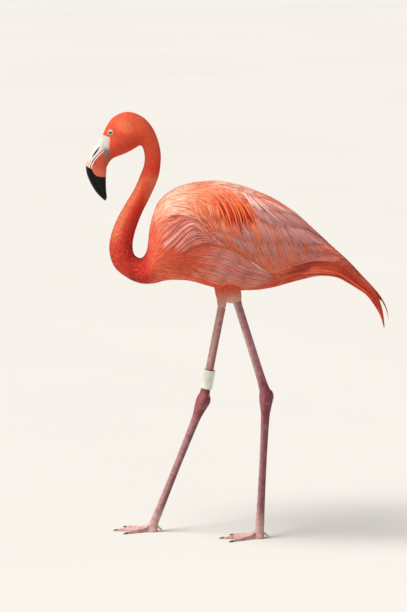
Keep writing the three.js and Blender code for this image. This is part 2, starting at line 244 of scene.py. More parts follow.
def volume(points, faces):
    """A sixth of the sum of the triple products of a closed surface's triangles."""
    total = 0.0
    for corners in faces:
        for j in range(1, corners.shape[1] - 1):
            a, b, c = (points[corners[:, k]] for k in (0, j, j + 1))
            total += np.einsum("ij,ij->", a, np.cross(b, c)) / 6
    return total


def outward(points, faces):
    """The same closed surface with its faces turned to point out."""
    if volume(points, faces) < 0:
        faces = [corners[:, ::-1] for corners in faces]
    return points, faces


def joined(shapes):
    """Several (points, faces) as one."""
    points, faces, start = [], [], 0
    for some, corners in shapes:
        points.append(some)
        faces += [c + start for c in corners]
        start += len(some)
    return np.concatenate(points), faces


def grid(surface, p, q):
    """A surface's points over all pairs of p and q, one ring for each p."""
    p, q = np.meshgrid(p, q, indexing="ij")
    return surface(p, q)


def around(count):
    """Even turns of a full circle."""
    return np.arange(count) * 2 * pi / count


def field(rows, at):
    """A number that changes along the sections, by rows of index and value, or one that doesn't."""
    if np.ndim(rows) == 0:
        return rows
    places, values = zip(*rows)
    return np.interp(at, places, values)


def piece(name, shape, finish, nodes, tint=None, fields=None, maps=None, hard=()):
    """Makes an object of (points, faces) that rides on the bird and replaces nodes. tint is a colour for each
    point, fields are numbers and maps are places for each point, and hard lists the face arrays with flat
    shading."""
    points, faces = shape
    mesh = bpy.data.meshes.new(name)
    corners = np.concatenate([f.ravel() for f in faces])
    sizes = np.concatenate([np.full(len(f), f.shape[1]) for f in faces])
    mesh.vertices.add(len(points))
    mesh.vertices.foreach_set("co", points.astype(np.float32).ravel())
    mesh.loops.add(len(corners))
    mesh.loops.foreach_set("vertex_index", corners.astype(np.int32))
    mesh.polygons.add(len(sizes))
    starts = np.concatenate([[0], np.cumsum(sizes)[:-1]])
    mesh.polygons.foreach_set("loop_start", starts.astype(np.int32))
    soft = np.concatenate([np.full(len(f), i not in hard) for i, f in enumerate(faces)])
    mesh.update(calc_edges=True)
    mesh.polygons.foreach_set("use_smooth", soft)
    if tint is not None:
        layer = mesh.attributes.new("tint", "FLOAT_COLOR", "POINT")
        four = np.concatenate([tint, np.ones((len(tint), 1))], 1)
        layer.data.foreach_set("color", four.astype(np.float32).ravel())
    for key, values in (fields or {}).items():
        layer = mesh.attributes.new(key, "FLOAT", "POINT")
        layer.data.foreach_set("value", values.astype(np.float32).ravel())
    for key, places in (maps or {}).items():
        layer = mesh.uv_layers.new(name=key)
        layer.data.foreach_set("uv", places[corners].astype(np.float32).ravel())
    mesh.materials.append(finish.material)
    mesh.validate()
    made = bpy.data.objects.new(name, mesh)
    bpy.context.collection.objects.link(made)
    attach(made, "root")
    if nodes:
        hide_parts(*nodes)


# ---------------------------------------------------------------------------------------------
# The form from bill base to tail tip
# ---------------------------------------------------------------------------------------------

# Each row is one section: back x and z, belly x and z, and half its width across.
SECTIONS = MM * np.array(
    [
        # bill base, forehead, crown and nape
        [-270, 820, -260, 760, 12],
        [-265, 832, -255, 769, 15.5],
        [-258, 846, -248, 776, 19],
        [-248, 859, -236, 781, 22],
        [-235, 867, -223, 786, 23.5],
        [-218, 871, -211, 792, 24],
        [-200, 867, -201, 798, 23.5],
        [-183, 857, -194, 802, 22],
        [-168, 839, -189, 799, 20],
        # down the neck
        [-157, 814, -186, 789, 18.5],
        [-151, 787, -185, 776, 17.5],
        [-152, 758, -187, 762, 17.5],
        [-157, 734, -192, 748, 17.5],
        [-172, 699, -206, 716, 17.5],
        [-188, 667, -225, 684, 18],
        [-200, 636, -243, 651, 20],
        # round the low bend of the neck
        [-207, 609, -255, 617, 22],
        [-207, 592, -257, 585, 24],
        [-204, 582, -246, 554, 25],
        [-196, 576, -221, 533, 27],
        [-188, 577, -200, 523, 31],
        # breast and shoulders
        [-179, 590, -184, 520, 39],
        [-175, 613, -172, 520, 49],
        [-172, 640, -160, 522, 59],
        [-166, 665, -147, 526, 69],
        [-156, 689, -130, 528, 78],
        [-133, 711, -109, 528, 85],
        # back and belly
        [-103, 725, -85, 525, 89],
        [-69, 731, -59, 517, 90.5],
        [-33, 732, -29, 510, 90],
        [3, 725, 8, 507, 87],
        [40, 712, 42, 508, 82],
        [74, 697, 74, 513, 75],
        [105, 677, 103, 521, 67],
        [132, 655, 129, 528, 59],
        [161, 629, 153, 534, 50],
        [187, 605, 177, 537, 42],
        # the drooping tail plumes
        [209, 585, 204, 534, 35],
        [232, 563, 224, 524, 28],
        [252, 541, 244, 512, 22],
        [274, 518, 264, 498, 16.5],
        [292, 497, 281, 474, 11],
        [305, 473, 292, 451, 6.5],
        [310, 450, 298, 424, 3],
    ]
)
NECK_START, BODY_START, RUMP = 8, 21, 37
# How deep the coat is over the skin: section index and millimetres.
COAT_DEPTH = [
    (0, 0.2), (1, 0.6), (2, 0.9), (5, 1.4), (8, 2), (13, 2.6), (17, 3.2), (20, 4), (22, 5), (25, 6),
    (37, 6), (39, 5), (43, 1),
]


def coat_depth(index):
    """The coat's depth in metres at a section."""
    return MM * field(COAT_DEPTH, index)


def outline(index, turn, inset=0.0):
    """The bird's outline. At turn t a section's point lies (1 - cos t) / 2 of the way from belly to back, and
    its half width times sin t to the power 0.9 across, a tenth more above and less below on the body. inset
    moves all three inward."""
    row = spline(SECTIONS, index)
    back, belly, wide = row[..., 0:2], row[..., 2:4], row[..., 4]
    height = np.linalg.norm(back - belly, axis=-1)
    up = unit(back - belly)
    inset = np.minimum(inset, 0.4 * height)
    wide = np.maximum(wide - inset, 0.0005)
    back, belly = back - up * inset[..., None], belly + up * inset[..., None]
    rise = (1 - np.cos(turn)) / 2
    full = 0.1 * smooth((index - BODY_START) / 6) * (2 * rise - 1)
    middle = belly + (back - belly) * rise[..., None]
    across = wide * np.sign(np.sin(turn)) * np.abs(np.sin(turn)) ** 0.9 * (1 + full)
    return np.stack([middle[..., 0], across, middle[..., 1]], -1)


def skin(index, turn):
    """The outline less the depth of the coat."""
    return outline(index, turn, coat_depth(index))


# ---------------------------------------------------------------------------------------------
# Markings: the same for skin and coat
# ---------------------------------------------------------------------------------------------

EYE = np.array([-250.6, 13.4, 829.5]) * MM
EYE_RADIUS = 7 * MM
# The middle of the lids, in side view, and how far they reach from it
EYE_OPENING = np.array([-252, 830]) * MM
LID_REACH = 6.4 * MM
# The edge of the face's bare skin, in side view: height, and how far back it reaches
FACE_EDGE = np.array(
    [[760, -261], [771, -256.5], [791, -251], [802, -255], [812, -253], [821, -253], [825, -270]]
)
FACE_UNDERSIDE = 0.755  # in metres; nothing below this height is bare

CORAL = colour("F2542A")
NECK_RED = colour("E53516")
# painted shade: the back of the lower neck, a deep scarlet as if out of the light
NECK_PAINTED_SHADE = colour("CC1804")
# painted light: the front of the lower neck, a paler orange as if lit
NECK_PAINTED_LIGHT = colour("FF8458")
# painted shade: a darker, redder cheek
CHEEK_PAINTED_SHADE = colour("E4441E")
# painted light: a brighter orange over the ear
EAR_PAINTED_LIGHT = colour("FA7C50")
BODY_PINK = colour("EF6E45")
# The middle line of the neck, in side view, from under the head to the low bend
NECK_MIDDLE = (SECTIONS[9:18, 0:2] + SECTIONS[9:18, 2:4]) / 2
# Each marking, in the order in which they are laid on: colour, centre x and z, half length, half height, tilt
# in degrees, strength
MARKINGS = [
    (colour("FFA888"), -140, 676, 60, 44, 40, 0.9),  # front of the shoulder
    (colour("FFC8AC"), -136, 694, 42, 24, 38, 1),  # pale shoulder
    (colour("FA8A5A"), -76, 678, 52, 46, -60, 0.95),  # peach mantle
    (colour("FFC8B2"), -22, 734, 100, 19, -6, 1),  # pale back
    # the next two markings are partly the breast's own deeper coral and partly painted shade, darker as if
    # out of the light
    (colour("D4583E"), -100, 616, 60, 34, 8, 0.8),  # dusky breast side
    (colour("DC4A2C"), -118, 572, 50, 26, -20, 0.8),  # deep breast
    (colour("E2684E"), -40, 576, 70, 26, -14, 0.8),  # flank
    (colour("E84A26"), -60, 522, 130, 16, 0, 0.85),  # belly
    (colour("E09890"), 92, 640, 80, 44, -42, 0.9),  # dusky wing
    (colour("E8805C"), 48, 592, 42, 34, -50, 0.6),  # wing tips
    (colour("D5421F"), 95, 535, 100, 20, 8, 0.95),  # red under the wing
    (colour("C23A24"), 208, 560, 46, 40, -45, 0.95),  # tail base
    (colour("CC3920"), 275, 480, 60, 60, -60, 1),  # tail
]


def ellipse(x, z, centre_x, centre_z, long, high, tilt):
    """1 inside a soft ellipse in side view and 0 outside: a bell curve of the squared distance from its
    middle, so that the top is flat and the edge soft."""
    c, s = np.cos(radians(tilt)), np.sin(radians(tilt))
    dx, dz = x / MM - centre_x, z / MM - centre_z
    far = ((dx * c + dz * s) / long) ** 2 + ((dz * c - dx * s) / high) ** 2
    return np.exp(-(far**2) * 0.7)


def from_eye(points):
    """The distance of places from the middle of the lids, in side view."""
    return np.hypot(points[..., 0] - EYE_OPENING[0], points[..., 2] - EYE_OPENING[1])


def bare_face(points):
    """How far a place lies inside the bare skin of the face, in metres, by its edge in side view or by its
    distance from the eye, whichever is more."""
    x, y, z = points[..., 0], points[..., 1], points[..., 2]
    edge = np.interp(z / MM, FACE_EDGE[:, 0], FACE_EDGE[:, 1]) * MM
    ring = np.where(np.abs(y) > 8 * MM, LID_REACH - from_eye(points), -1)
    return np.maximum(np.where(z > FACE_UNDERSIDE, edge - x, -1), ring)


def plumage(points):
    """The colour of the coat at a place: coral on the head, with painted shade as a redder cheek and painted
    light as a more orange ear, redder down the neck, with painted shade as scarlet behind and painted light
    as orange in front, pink on the body, and then each marking in turn."""
    x, z = points[..., 0], points[..., 2]
    neck = smooth((0.83 - z) / 0.08) * np.maximum(smooth((-0.14 - x) / 0.05), smooth((z - 0.745) / 0.02))
    body = smooth((x + 0.19) / 0.03) * smooth((0.76 - z) / 0.02)
    behind = (x - np.interp(-z, -NECK_MIDDLE[:, 1], NECK_MIDDLE[:, 0])) / (20 * MM)
    low = smooth((0.775 - z) / 0.04)
    # painted light on the front of the lower neck
    front = 0.85 * smooth(0.1 - 1.4 * behind) * smooth((0.76 - z) / 0.03) * smooth((z - 0.6) / 0.04)
    # painted shade over the cheek
    cheek = ellipse(x, z, -216, 812, 34, 20, -20)
    # painted light over the ear
    ear = 0.75 * ellipse(x, z, -228, 842, 17, 12, -35)
    # painted shade down the back of the lower neck
    scarlet = low * smooth(0.1 + 1.5 * behind)
    areas = [(NECK_RED, neck), (CHEEK_PAINTED_SHADE, cheek), (EAR_PAINTED_LIGHT, ear), (NECK_PAINTED_SHADE, scarlet)]
    areas += [(NECK_PAINTED_LIGHT, front), (BODY_PINK, body)]
    areas += [(shade, body * strength * ellipse(x, z, *place)) for shade, *place, strength in MARKINGS]
    tint = CORAL
    for shade, share in areas:
        tint = between(tint, shade, share[..., None])
    return tint


LORES = colour("C6C1BD")
CHEEK_STRIP = colour("8C5C4E")
EYE_RING = colour("B07C70")
SHANK_PINK = colour("D8B0A0")
ANKLE_ROSE = colour("A65A60")
TARSUS_PINK = colour("B48682")
FOOT_BEIGE = colour("C8A29A")
LEG_SHADE = np.array([0.44, 0.64, 0.5])  # how much of each of red, green and blue a leg's shaded back loses
THIGH_TAN = colour("E3A78F")
LEG_HALF = 7 * MM


def leg_front(points):
    """How far forward a place lies on its leg, from -1 at the back to 1 at the front, by its distance from
    the line through hem, ankle and toe joint, in side view."""
    total = 0
    for leg in LEGS.values():
        x, z = MM * np.array([leg["toes"], leg["ankle"], leg["hem"]])[:, [0, 2]].T
        ahead = (np.interp(points[..., 2], z, x) - points[..., 0]) / LEG_HALF
        total = total + np.clip(ahead, -1, 1) * (np.sign(points[..., 1]) == leg["side"])
    return total


def skin_colour(points):
    """The skin's own markings: the coat's colour, but pale lores, a brown strip behind the lower bill, a dull
    pink ring round the eye, and pink legs that are redder at the ankles, with painted shade down their backs,
    heavier on the left leg than the right."""
    tint = plumage(points)
    z = points[..., 2]
    bare = smooth(bare_face(points) / (1.2 * MM) + 0.5)[..., None]
    strip = smooth((0.804 - z) / (12 * MM))[..., None]
    ring = smooth((LID_REACH + 0.6 * MM - from_eye(points)) / (1.2 * MM))[..., None]
    face = between(between(LORES, CHEEK_STRIP, strip), EYE_RING, ring)
    tint = between(tint, face, bare)
    leg = SHANK_PINK
    for shade, starts, full in ((ANKLE_ROSE, 0.37, 0.3), (TARSUS_PINK, 0.27, 0.2), (FOOT_BEIGE, 0.09, 0.02)):
        leg = between(leg, shade, smooth((starts - z) / (starts - full))[..., None])
    # painted shade down the back of each leg, heavier on the left leg
    back = smooth(0.65 - 0.3 * np.sign(points[..., 1]) - 0.8 * leg_front(points))[..., None]
    above_foot = smooth((z - 0.03) / 0.03)[..., None]
    leg = leg * (1 - LEG_SHADE * back * above_foot)
    return between(tint, leg, smooth((0.5 - z) / 0.01)[..., None])


# ---------------------------------------------------------------------------------------------
# Finishes
# ---------------------------------------------------------------------------------------------

WARM_SHEEN = (1, 0.6, 0.42)
BARB_SLANT = 0.33


def coat_finish(name, roughness, sheen, clouds, barb_count):
    """Feathers: each point's tint, faintly streaked along the vane in each feather's own way and clouded
    across feathers with painted shade and a little painted warm sheen, with fine barbs that run out from the
    shaft."""
    finish = Finish(name, Sheen_Weight=sheen, Sheen_Roughness=0.5, Specular_IOR_Level=0.22)
    finish.shader.inputs["Sheen Tint"].default_value = (*WARM_SHEEN, 1)
    streaks = finish.noise(1, 3, 0.55, finish.stretched("vane", (9, 1.3, 1)))
    tint = finish.attribute("tint")
    dark = finish.mix(1, tint, (0.9, 0.83, 0.84), "MULTIPLY")
    light = finish.mix(0.14, tint, (1, 0.84, 0.74))
    shade = finish.mix(streaks.rise(0.3, 0.5), dark, tint)
    shade = finish.mix(streaks.rise(0.52, 0.75), shade, light)
    # painted light and shade: soft clouds across the feathers, some patches darker and some warmer and paler,
    # like lit and shaded lumps of tufts
    cloud = finish.noise(clouds, 3, 0.6)
    painted_cloud_shade = finish.mix(1, shade, (0.82, 0.6, 0.58), "MULTIPLY")
    shade = finish.mix((1 - cloud.rise(0.3, 0.5)) * 0.5, shade, painted_cloud_shade)
    # painted sheen: a little of the warm sheen colour in the palest clouds
    shade = finish.mix(cloud.rise(0.52, 0.72) * 0.1, shade, WARM_SHEEN)
    finish.feed("Base Color", shade)
    finish.feed("Roughness", streaks * 0.2 + roughness)
    place = {0: finish.node("ShaderNodeUVMap", (), uv_map="vane")}
    across = finish.node("ShaderNodeSeparateXYZ", place, "X")
    along = finish.node("ShaderNodeSeparateXYZ", place, "Y")
    share = finish.node("ShaderNodeMath", {0: across}, operation="FRACT")
    from_shaft = finish.node("ShaderNodeMath", {0: share - 0.5}, operation="ABSOLUTE")
    wave = (along - from_shaft * BARB_SLANT) * (2 * pi * barb_count)
    barbs = finish.node("ShaderNodeMath", {0: wave}, operation="SINE")
    finish.bump(barbs * 0.4 + streaks * 1.5, 0.12, 0.0003)
    return finish


def skin_finish():
    """Skin: tint, mottled, with small many-sided scales on the legs, painted shade in the grooves between
    them, and fine wrinkles elsewhere.
    """
    finish = Finish("skin", Specular_IOR_Level=0.45)
    where = finish.node("ShaderNodeTexCoord", (), 3)
    height = finish.node("ShaderNodeSeparateXYZ", {0: where}, "Z")
    leg = 1 - height.rise(0.5, 0.53)
    mottle = finish.noise(90, 4, 0.6)
    cells = {"Vector": where, "Scale": 520}
    scales = finish.node("ShaderNodeTexVoronoi", cells, feature="DISTANCE_TO_EDGE")
    tint = finish.attribute("tint")
    dark = finish.mix(1, tint, (0.7, 0.54, 0.58), "MULTIPLY")
    light = finish.mix(0.2, tint, (0.9, 0.72, 0.66))
    most = leg * 0.7 + 0.3
    shade = finish.mix((1 - mottle.rise(0.3, 0.55)) * most, tint, dark)
    shade = finish.mix(mottle.rise(0.55, 0.75) * most, shade, light)
    # painted shade in the grooves between the leg scales
    groove = (1 - scales.rise(0, 0.12)) * leg
    finish.feed("Base Color", finish.mix(groove * 0.45, shade, dark))
    finish.feed("Roughness", mottle * 0.3 + 0.38)
    wrinkles = finish.noise(600, 3, 0.6)
    finish.bump(scales.rise(0, 0.25) * leg + wrinkles * (1 - leg) * 0.6, 0.5, 0.0005)
    return finish


def bill_finish(name, base, near_tip, face):
    """Horn: the face's colour at its base, a colour that turns to another towards the tip, painted shade
    along the mouth line with a pale rim beside it, painted shade in the nostril slit, and black past the
    mark, all with long faint growth lines."""
    finish = Finish(name, Specular_IOR_Level=0.2)
    mark, lip = finish.attribute("mark", 2), finish.attribute("lip", 2)
    slit = finish.attribute("slit", 2)
    cloud = finish.noise(260, 3, 0.55)
    edge = mark + (cloud - 0.5) * 2.2
    horn = finish.mix(1 - mark.rise(2, 26), base, near_tip)
    horn = finish.mix(1 - finish.attribute("from_face", 2).rise(0, 11), horn, face)
    horn = finish.mix((cloud - 0.35) * 0.5, horn, (0.62, 0.42, 0.38))
    horn = finish.mix((1 - lip.rise(2, 3.2)) * 0.95, horn, colour("F4ECE8"))
    # painted shade along the mouth line, where the two halves meet
    horn = finish.mix(1 - lip.rise(0.5, 1.1), horn, colour("3B1F2B"))
    # painted shade in the nostril slit
    horn = finish.mix(slit.rise(0.1, 0.6), horn, colour("3C1424"))
    black = finish.mix(cloud.rise(0.3, 0.8), colour("040304"), colour("0D0A0C"))
    finish.feed("Base Color", finish.mix(1 - edge.rise(-0.8, 0.8), horn, black))
    finish.feed("Roughness", cloud * 0.22 + 0.34)
    lines = finish.noise(4, 3, 0.5, finish.stretched("growth", (3, 30, 1)))
    finish.bump(lines + cloud * 0.4, 0.3, 0.0004)
    return finish


def eye_finish():
    """A wet eye: black pupil, yellow iris with fine rays, dark rim, by the angle from the eye's own axis."""
    finish = Finish("eye", Roughness=0.06, Specular_IOR_Level=0.6, Coat_Weight=1.0, Coat_Roughness=0.03)
    place = finish.node("ShaderNodeUVMap", (), uv_map="iris")
    angle = finish.node("ShaderNodeSeparateXYZ", {0: place}, "Y")
    rays = finish.noise(6, 3, 0.6, finish.stretched("iris", (40, 3, 1)))
    stops = [
        (0.0, colour("050406")),
        (0.125, colour("060506")),
        (0.142, colour("A08A3A")),
        (0.19, colour("EDE6AE")),
        (0.29, colour("E2D58C")),
        (0.335, colour("6E5520")),
        (0.36, colour("1D1512")),
    ]
    iris = finish.node("ShaderNodeValToRGB", {0: angle + (rays - 0.5) * 0.02}, stops=stops)
    finish.feed("Base Color", finish.mix(rays * 0.25, iris, (0.45, 0.3, 0.05), "MULTIPLY"))
    return finish


def plain_finish(name, shade, deep, roughness, scale, strength):
    """A plain hard stuff in two close shades, clouded, with a fine grain."""
    finish = Finish(name, Specular_IOR_Level=0.5)
    cloud = finish.noise(scale, 4, 0.6)
    finish.feed("Base Color", finish.mix(cloud.rise(0.3, 0.7), deep, shade))
    finish.feed("Roughness", cloud * 0.25 + roughness)
    finish.bump(finish.noise(scale * 6, 3, 0.6), strength, 0.0003)
    return finish


COAT = coat_finish("feathers", 0.55, 0.15, 28, 30)
VELVET = coat_finish("short_feathers", 0.6, 0.2, 230, 5)
SKIN = skin_finish()
UPPER_HORN = bill_finish("upper_horn", colour("E6D2CB"), colour("EFB09A"), LORES)
LOWER_HORN = bill_finish("lower_horn", colour("CC4526"), colour("DC6A48"), colour("B4523C"))
EYE_WET = eye_finish()
CLAW_HORN = plain_finish("claw_horn", colour("5C4844"), colour("2C2020"), 0.4, 300, 0.2)
BAND_PLASTIC = plain_finish("band_plastic", colour("EEF0E4"), colour("D5D8C8"), 0.42, 60, 0.12)
FLOOR = plain_finish("floor", colour("CCCAC6"), colour("CBC9C5"), 0.6, 0.7, 0.01)

# ---------------------------------------------------------------------------------------------
# Legs and feet
# ---------------------------------------------------------------------------------------------

TARSUS_LENGTH = 284
TOE_JOINT_HEIGHT = 13
MIDDLE_TOE = 76
TOE_SPREAD = radians(29)
LEGS = {
    "left": dict(
        side=LEFT, hip=(-14, -30, 556), hem=(1, -29, 490), hem_size=(14.5, 11), hem_forward=5,
        ankle=(61, -20), foot=(48, -16), heading=radians(4),
    ),
    "right": dict(
        side=RIGHT, hip=(-24, 30, 560), hem=(-29, 33, 470), hem_size=(9, 8.5), hem_forward=0,
        ankle=(-66, 43), foot=(-170, 48), heading=radians(-4),
    ),
}
# The tarsus's length sets how high the ankle is over the foot.
for leg in LEGS.values():
    reach = np.hypot(leg["ankle"][0] - leg["foot"][0], leg["ankle"][1] - leg["foot"][1])
    leg["ankle"] = (*leg["ankle"], TOE_JOINT_HEIGHT + np.sqrt(TARSUS_LENGTH**2 - reach**2))
    leg["toes"] = (*leg["foot"], TOE_JOINT_HEIGHT)

# Each toe: how many spreads it turns inward from the middle one, and its length
TOES = {"inner": (1, 0.8 * MIDDLE_TOE), "middle": (0, MIDDLE_TOE), "outer": (-1, 0.9 * MIDDLE_TOE)}
TOE_ROOT, TOE_TIP = 5.6, 3.2  # half widths of a toe
HEEL = 10.5
INSTEP = [-9, -4, 4, 10, 19, 28, 36, 42], [0, 15, 18.5, 16, 12, 9, 7, 0]  # distance ahead, height
INSTEP_HALF = 9.5
WEB_REACH, WEB_NOTCH = 0.86, 0.6  # the web's edge at a toe and midway, as shares of the toes' length
LEG_SIDES, LEG_STEP, TOE_SIDES = 32, 1.6, 14


def on_toe(leg, turn, distance, height):
    """A place over a toe's line, at a distance from the middle of the foot."""
    angle = leg["heading"] + leg["side"] * turn * TOE_SPREAD
    return [*(np.array(leg["foot"]) + distance * np.array([-np.cos(angle), -np.sin(angle)])), height]


def limb(rows, relief=None):
    """A surface round a path. Rows are centre x, y, z and half sizes fore and aft and across, in
    millimetres: at row p and turn q it is the centre plus fore times cos q plus across times sin q, with
    relief(p, q) added to both sizes."""

    def surface(p, q):
        row = spline(rows, p)
        slope = unit((spline(rows, p + 0.02) - spline(rows, p - 0.02))[..., :3])
        fore = unit(np.cross((0, 1, 0), slope))
        across = np.cross(slope, fore)
        more = relief(p, q) if relief else 0
        deep, wide = (row[..., 3] + more)[..., None], (row[..., 4] + more)[..., None]
        turn = q[..., None]
        return MM * (row[..., :3] + fore * deep * np.cos(turn) + across * wide * np.sin(turn))

    return surface


HEM_COAT = 2.4  # how far the thigh is drawn in at its hem, under the feathers


def thigh_rows(leg):
    """The thigh, from inside the belly to its hem, under the coat."""
    hip, end = leg["hip"], np.array(leg["hem"]) - (leg["hem_forward"], 0, 0)
    deep, wide = leg["hem_size"]
    return np.array(
        [
            [*hip, 27, 19],
            [*between(hip, end, 0.55), 16.5, 13.5],
            [*between(hip, end, 0.85), deep, wide + 1],
            [*end, deep - HEM_COAT, wide - HEM_COAT],
        ]
    )


HEM_ROW, ANKLE_ROW = 3, 10


def leg_rows(leg):
    """The thigh, whose last row lies on the shank's line, then shank, knobbly ankle and tarsus, which flares
    where it meets the foot."""
    hem, ankle, toes = leg["hem"], leg["ankle"], leg["toes"]
    start = between(hem, ankle, 0.932)
    lower = [
        [*between(hem, ankle, 0.035), 8.2, 6.6],
        [*between(hem, ankle, 0.1), 7.8, 6.2],
        [*between(hem, ankle, 0.5), 7.8, 5.8],
        [*between(hem, ankle, 0.8), 8.4, 6.2],
        [*start, 10.2, 7.8],
        [*between(start, ankle, 0.55), 13, 9.6],
        [*ankle, 14.2, 10.2],
        [*between(ankle, toes, 0.04), 13.4, 9.2],
        [*between(ankle, toes, 0.1), 10.4, 7.2],
        [*between(ankle, toes, 0.18), 8.2, 5.8],
        [*between(ankle, toes, 0.5), 7, 5.2],
        [*between(ankle, toes, 0.85), 7.8, 5.8],
        [*between(ankle, toes, 0.94), 8.8, 7],
        [*toes, 9.4, 8.2],
        [*on_toe(leg, 0, 2, 8), 8.4, 7.8],
        [*on_toe(leg, 0, 3, 5), 5, 5],
    ]
    thigh = thigh_rows(leg)
    thigh[-1] = [*between(leg["hip"], hem, 0.97), *(np.minimum(leg["hem_size"], (11.5, 10)) - HEM_COAT)]
    return np.concatenate([thigh, lower])


def leg_shape(leg):
    """The leg as evenly spaced rings. Its relief is a row of overlapping shields down the front, a tendon
    ridge behind with a groove each side of it, and knobs, a hollow and a heel on the ankle."""
    rows = leg_rows(leg)
    fine = np.linspace(0, len(rows) - 1, 2000)
    path = spline(rows, fine)[:, :3]
    run = np.concatenate([[0], np.cumsum(np.linalg.norm(np.diff(path, axis=0), axis=1))])
    ankle_run = np.interp(ANKLE_ROW, fine, run)
    hem_run = np.interp(HEM_ROW, fine, run)

    def relief(p, q):
        s = np.interp(p, fine, run)
        front, back = np.cos(q), -np.cos(q)
        shields = ((s / 4.6) % 1) ** 1.5 * 0.42 * smooth((front - 0.1) / 0.5)
        small = 0.12 * np.sin(s * 2.1) * np.sin(q * 9) * (1 - smooth((front - 0.1) / 0.5))
        tendon = 0.55 * smooth((back - 0.82) / 0.15) - 0.45 * np.exp(-(((back - 0.55) / 0.2) ** 2))
        from_ankle = s - ankle_run
        joint = np.exp(-((from_ankle / 16) ** 2))
        knob = 1.5 * np.exp(-((from_ankle / 8) ** 2)) * np.abs(np.sin(q)) ** 3
        hollow = -1.1 * np.exp(-(((from_ankle + 13) / 6) ** 2)) * np.exp(-(((front - 0.35) / 0.3) ** 2))
        heel = 0.9 * np.exp(-(((from_ankle - 4) / 6) ** 2)) * smooth((back - 0.5) / 0.4)
        bare = smooth((s - hem_run) / 6) * smooth((run[-1] - s) / 14)
        return bare * (shields * (1 - 0.7 * joint) + small + tendon * (1 - joint)) + knob + hollow + heel

    count = int(run[-1] / LEG_STEP)
    p = np.interp(np.linspace(0, run[-1], count), run, fine)
    return tube(grid(limb(rows, relief), p, around(LEG_SIDES)))


def foot_edge(angle):
    """How far the foot reaches at an angle from straight ahead: the heel's circle behind, the web's hollow
    edge in front, and on it each toe, whose round end stands out past the web."""
    reach = np.full_like(angle, HEEL)
    for turn, length in TOES.values():
        off = angle - turn * TOE_SPREAD
        near = np.abs(off) < 0.6
        side = length * np.sin(np.clip(np.abs(off), 0, 1.5))
        tip = length - 0.5 * side**2
        beside = TOE_TIP * 1.1 / np.maximum(np.sin(np.clip(np.abs(off), 1e-4, 1.5)), 1e-4)
        toe = np.minimum(tip, beside)
        reach = np.where(near, np.maximum(reach, toe), reach)
    for low, high in (("middle", "inner"), ("outer", "middle")):
        (turn_a, length_a), (turn_b, length_b) = TOES[low], TOES[high]
        share = (angle / TOE_SPREAD - turn_a) / (turn_b - turn_a)
        edge = length_a + (length_b - length_a) * share
        hollow = WEB_REACH - (WEB_REACH - WEB_NOTCH) * np.clip(4 * share * (1 - share), 0, 1) ** 0.8
        reach = np.where((share >= 0) & (share <= 1), np.maximum(reach, edge * hollow), reach)
    return reach


def foot_height(ahead, aside):
    """The top of the foot: a soft maximum, the sixth root of a sum of sixth powers, of the web, of a round
    ridge along each toe that swells at its knuckles, of a bell as high as the joint, and of the instep, a
    rounded ramp from the tarsus down to the middle toe."""
    web = 1.7 + 0.25 * np.sin(np.hypot(ahead, aside) * 0.9)
    total = web**6
    for turn, length in TOES.values():
        c, s = np.cos(turn * TOE_SPREAD), np.sin(turn * TOE_SPREAD)
        along, off = ahead * c + aside * s, aside * c - ahead * s
        share = np.clip(along / length, 0, 1)
        size = TOE_ROOT + (TOE_TIP - TOE_ROOT) * share
        size = size * (1 + 0.07 * np.cos(share * 2 * pi * 3.5)) + 0.16 * ((along / 3.4) % 1)
        ridge = size * (0.72 + np.sqrt(np.clip(1 - (off / size) ** 2, 0, 1)))
        total = total + np.where((along > -2) & (np.abs(off) < size), ridge, 0) ** 6
    joint = TOE_JOINT_HEIGHT * np.exp(-((np.hypot(ahead * 0.85, aside) / 12) ** 2))
    slope = np.interp(ahead, *INSTEP) * np.sqrt(np.clip(1 - (aside / INSTEP_HALF) ** 2, 0, 1))
    return (total + joint**6 + slope**6) ** (1 / 6)


def foot_shape(leg):
    """A webbed foot as one closed surface on a polar grid round the joint: the top sheet falls to the edge,
    and the underside returns a little above the floor between the pads."""
    fine_part = 1.25  # spreads each side of straight ahead
    front = np.linspace(-fine_part, fine_part, 190) * TOE_SPREAD
    back = np.linspace(fine_part * TOE_SPREAD, 2 * pi - fine_part * TOE_SPREAD, 42)[1:-1]
    angle = np.concatenate([front, back])
    edge = foot_edge(angle)
    ease = smooth((np.abs(np.where(angle > pi, angle - 2 * pi, angle)) - TOE_SPREAD) / 0.1)
    edge = edge * (1 - ease) + HEEL * ease
    share = np.linspace(0, 1, 33)[1:] ** 0.8
    a, t = np.meshgrid(angle, share, indexing="ij")
    far = edge[:, None] * t
    ahead, aside = far * np.cos(a), far * np.sin(a)
    round_off = np.sqrt(np.clip(1 - t**10, 0, 1))
    top = foot_height(ahead, aside) * round_off + 0.6 * (1 - round_off)
    under = np.clip(2.2 - 0.5 * foot_height(ahead, aside), 0, 0.5) * round_off + 0.1 * t**10
    heading, side = leg["heading"], leg["side"]
    x = -ahead * np.cos(heading) + side * aside * np.sin(heading)
    y = -ahead * np.sin(heading) - side * aside * np.cos(heading)
    sheets = [np.stack([x, y, z], -1) for z in (top, under)]
    rings = np.concatenate([sheets[0], sheets[1][:, ::-1]], 1).transpose(1, 0, 2)
    return tube(MM * (rings + [*leg["foot"], 0]))


def hind_toe_shape(leg):
    """A short toe behind the joint, bent down to the floor."""
    rows = np.array(
        [
            [*on_toe(leg, 0, -4, 12), 2.6, 2.6],
            [*on_toe(leg, 0, -12, 9), 2.8, 2.8],
            [*on_toe(leg, 0, -16, 6), 2.3, 2.3],
            [*on_toe(leg, 0, -18.5, 4.4), 1.0, 1.0],
        ]
    )
    return tube(grid(limb(rows), np.linspace(0, 3, 16), around(TOE_SIDES)))


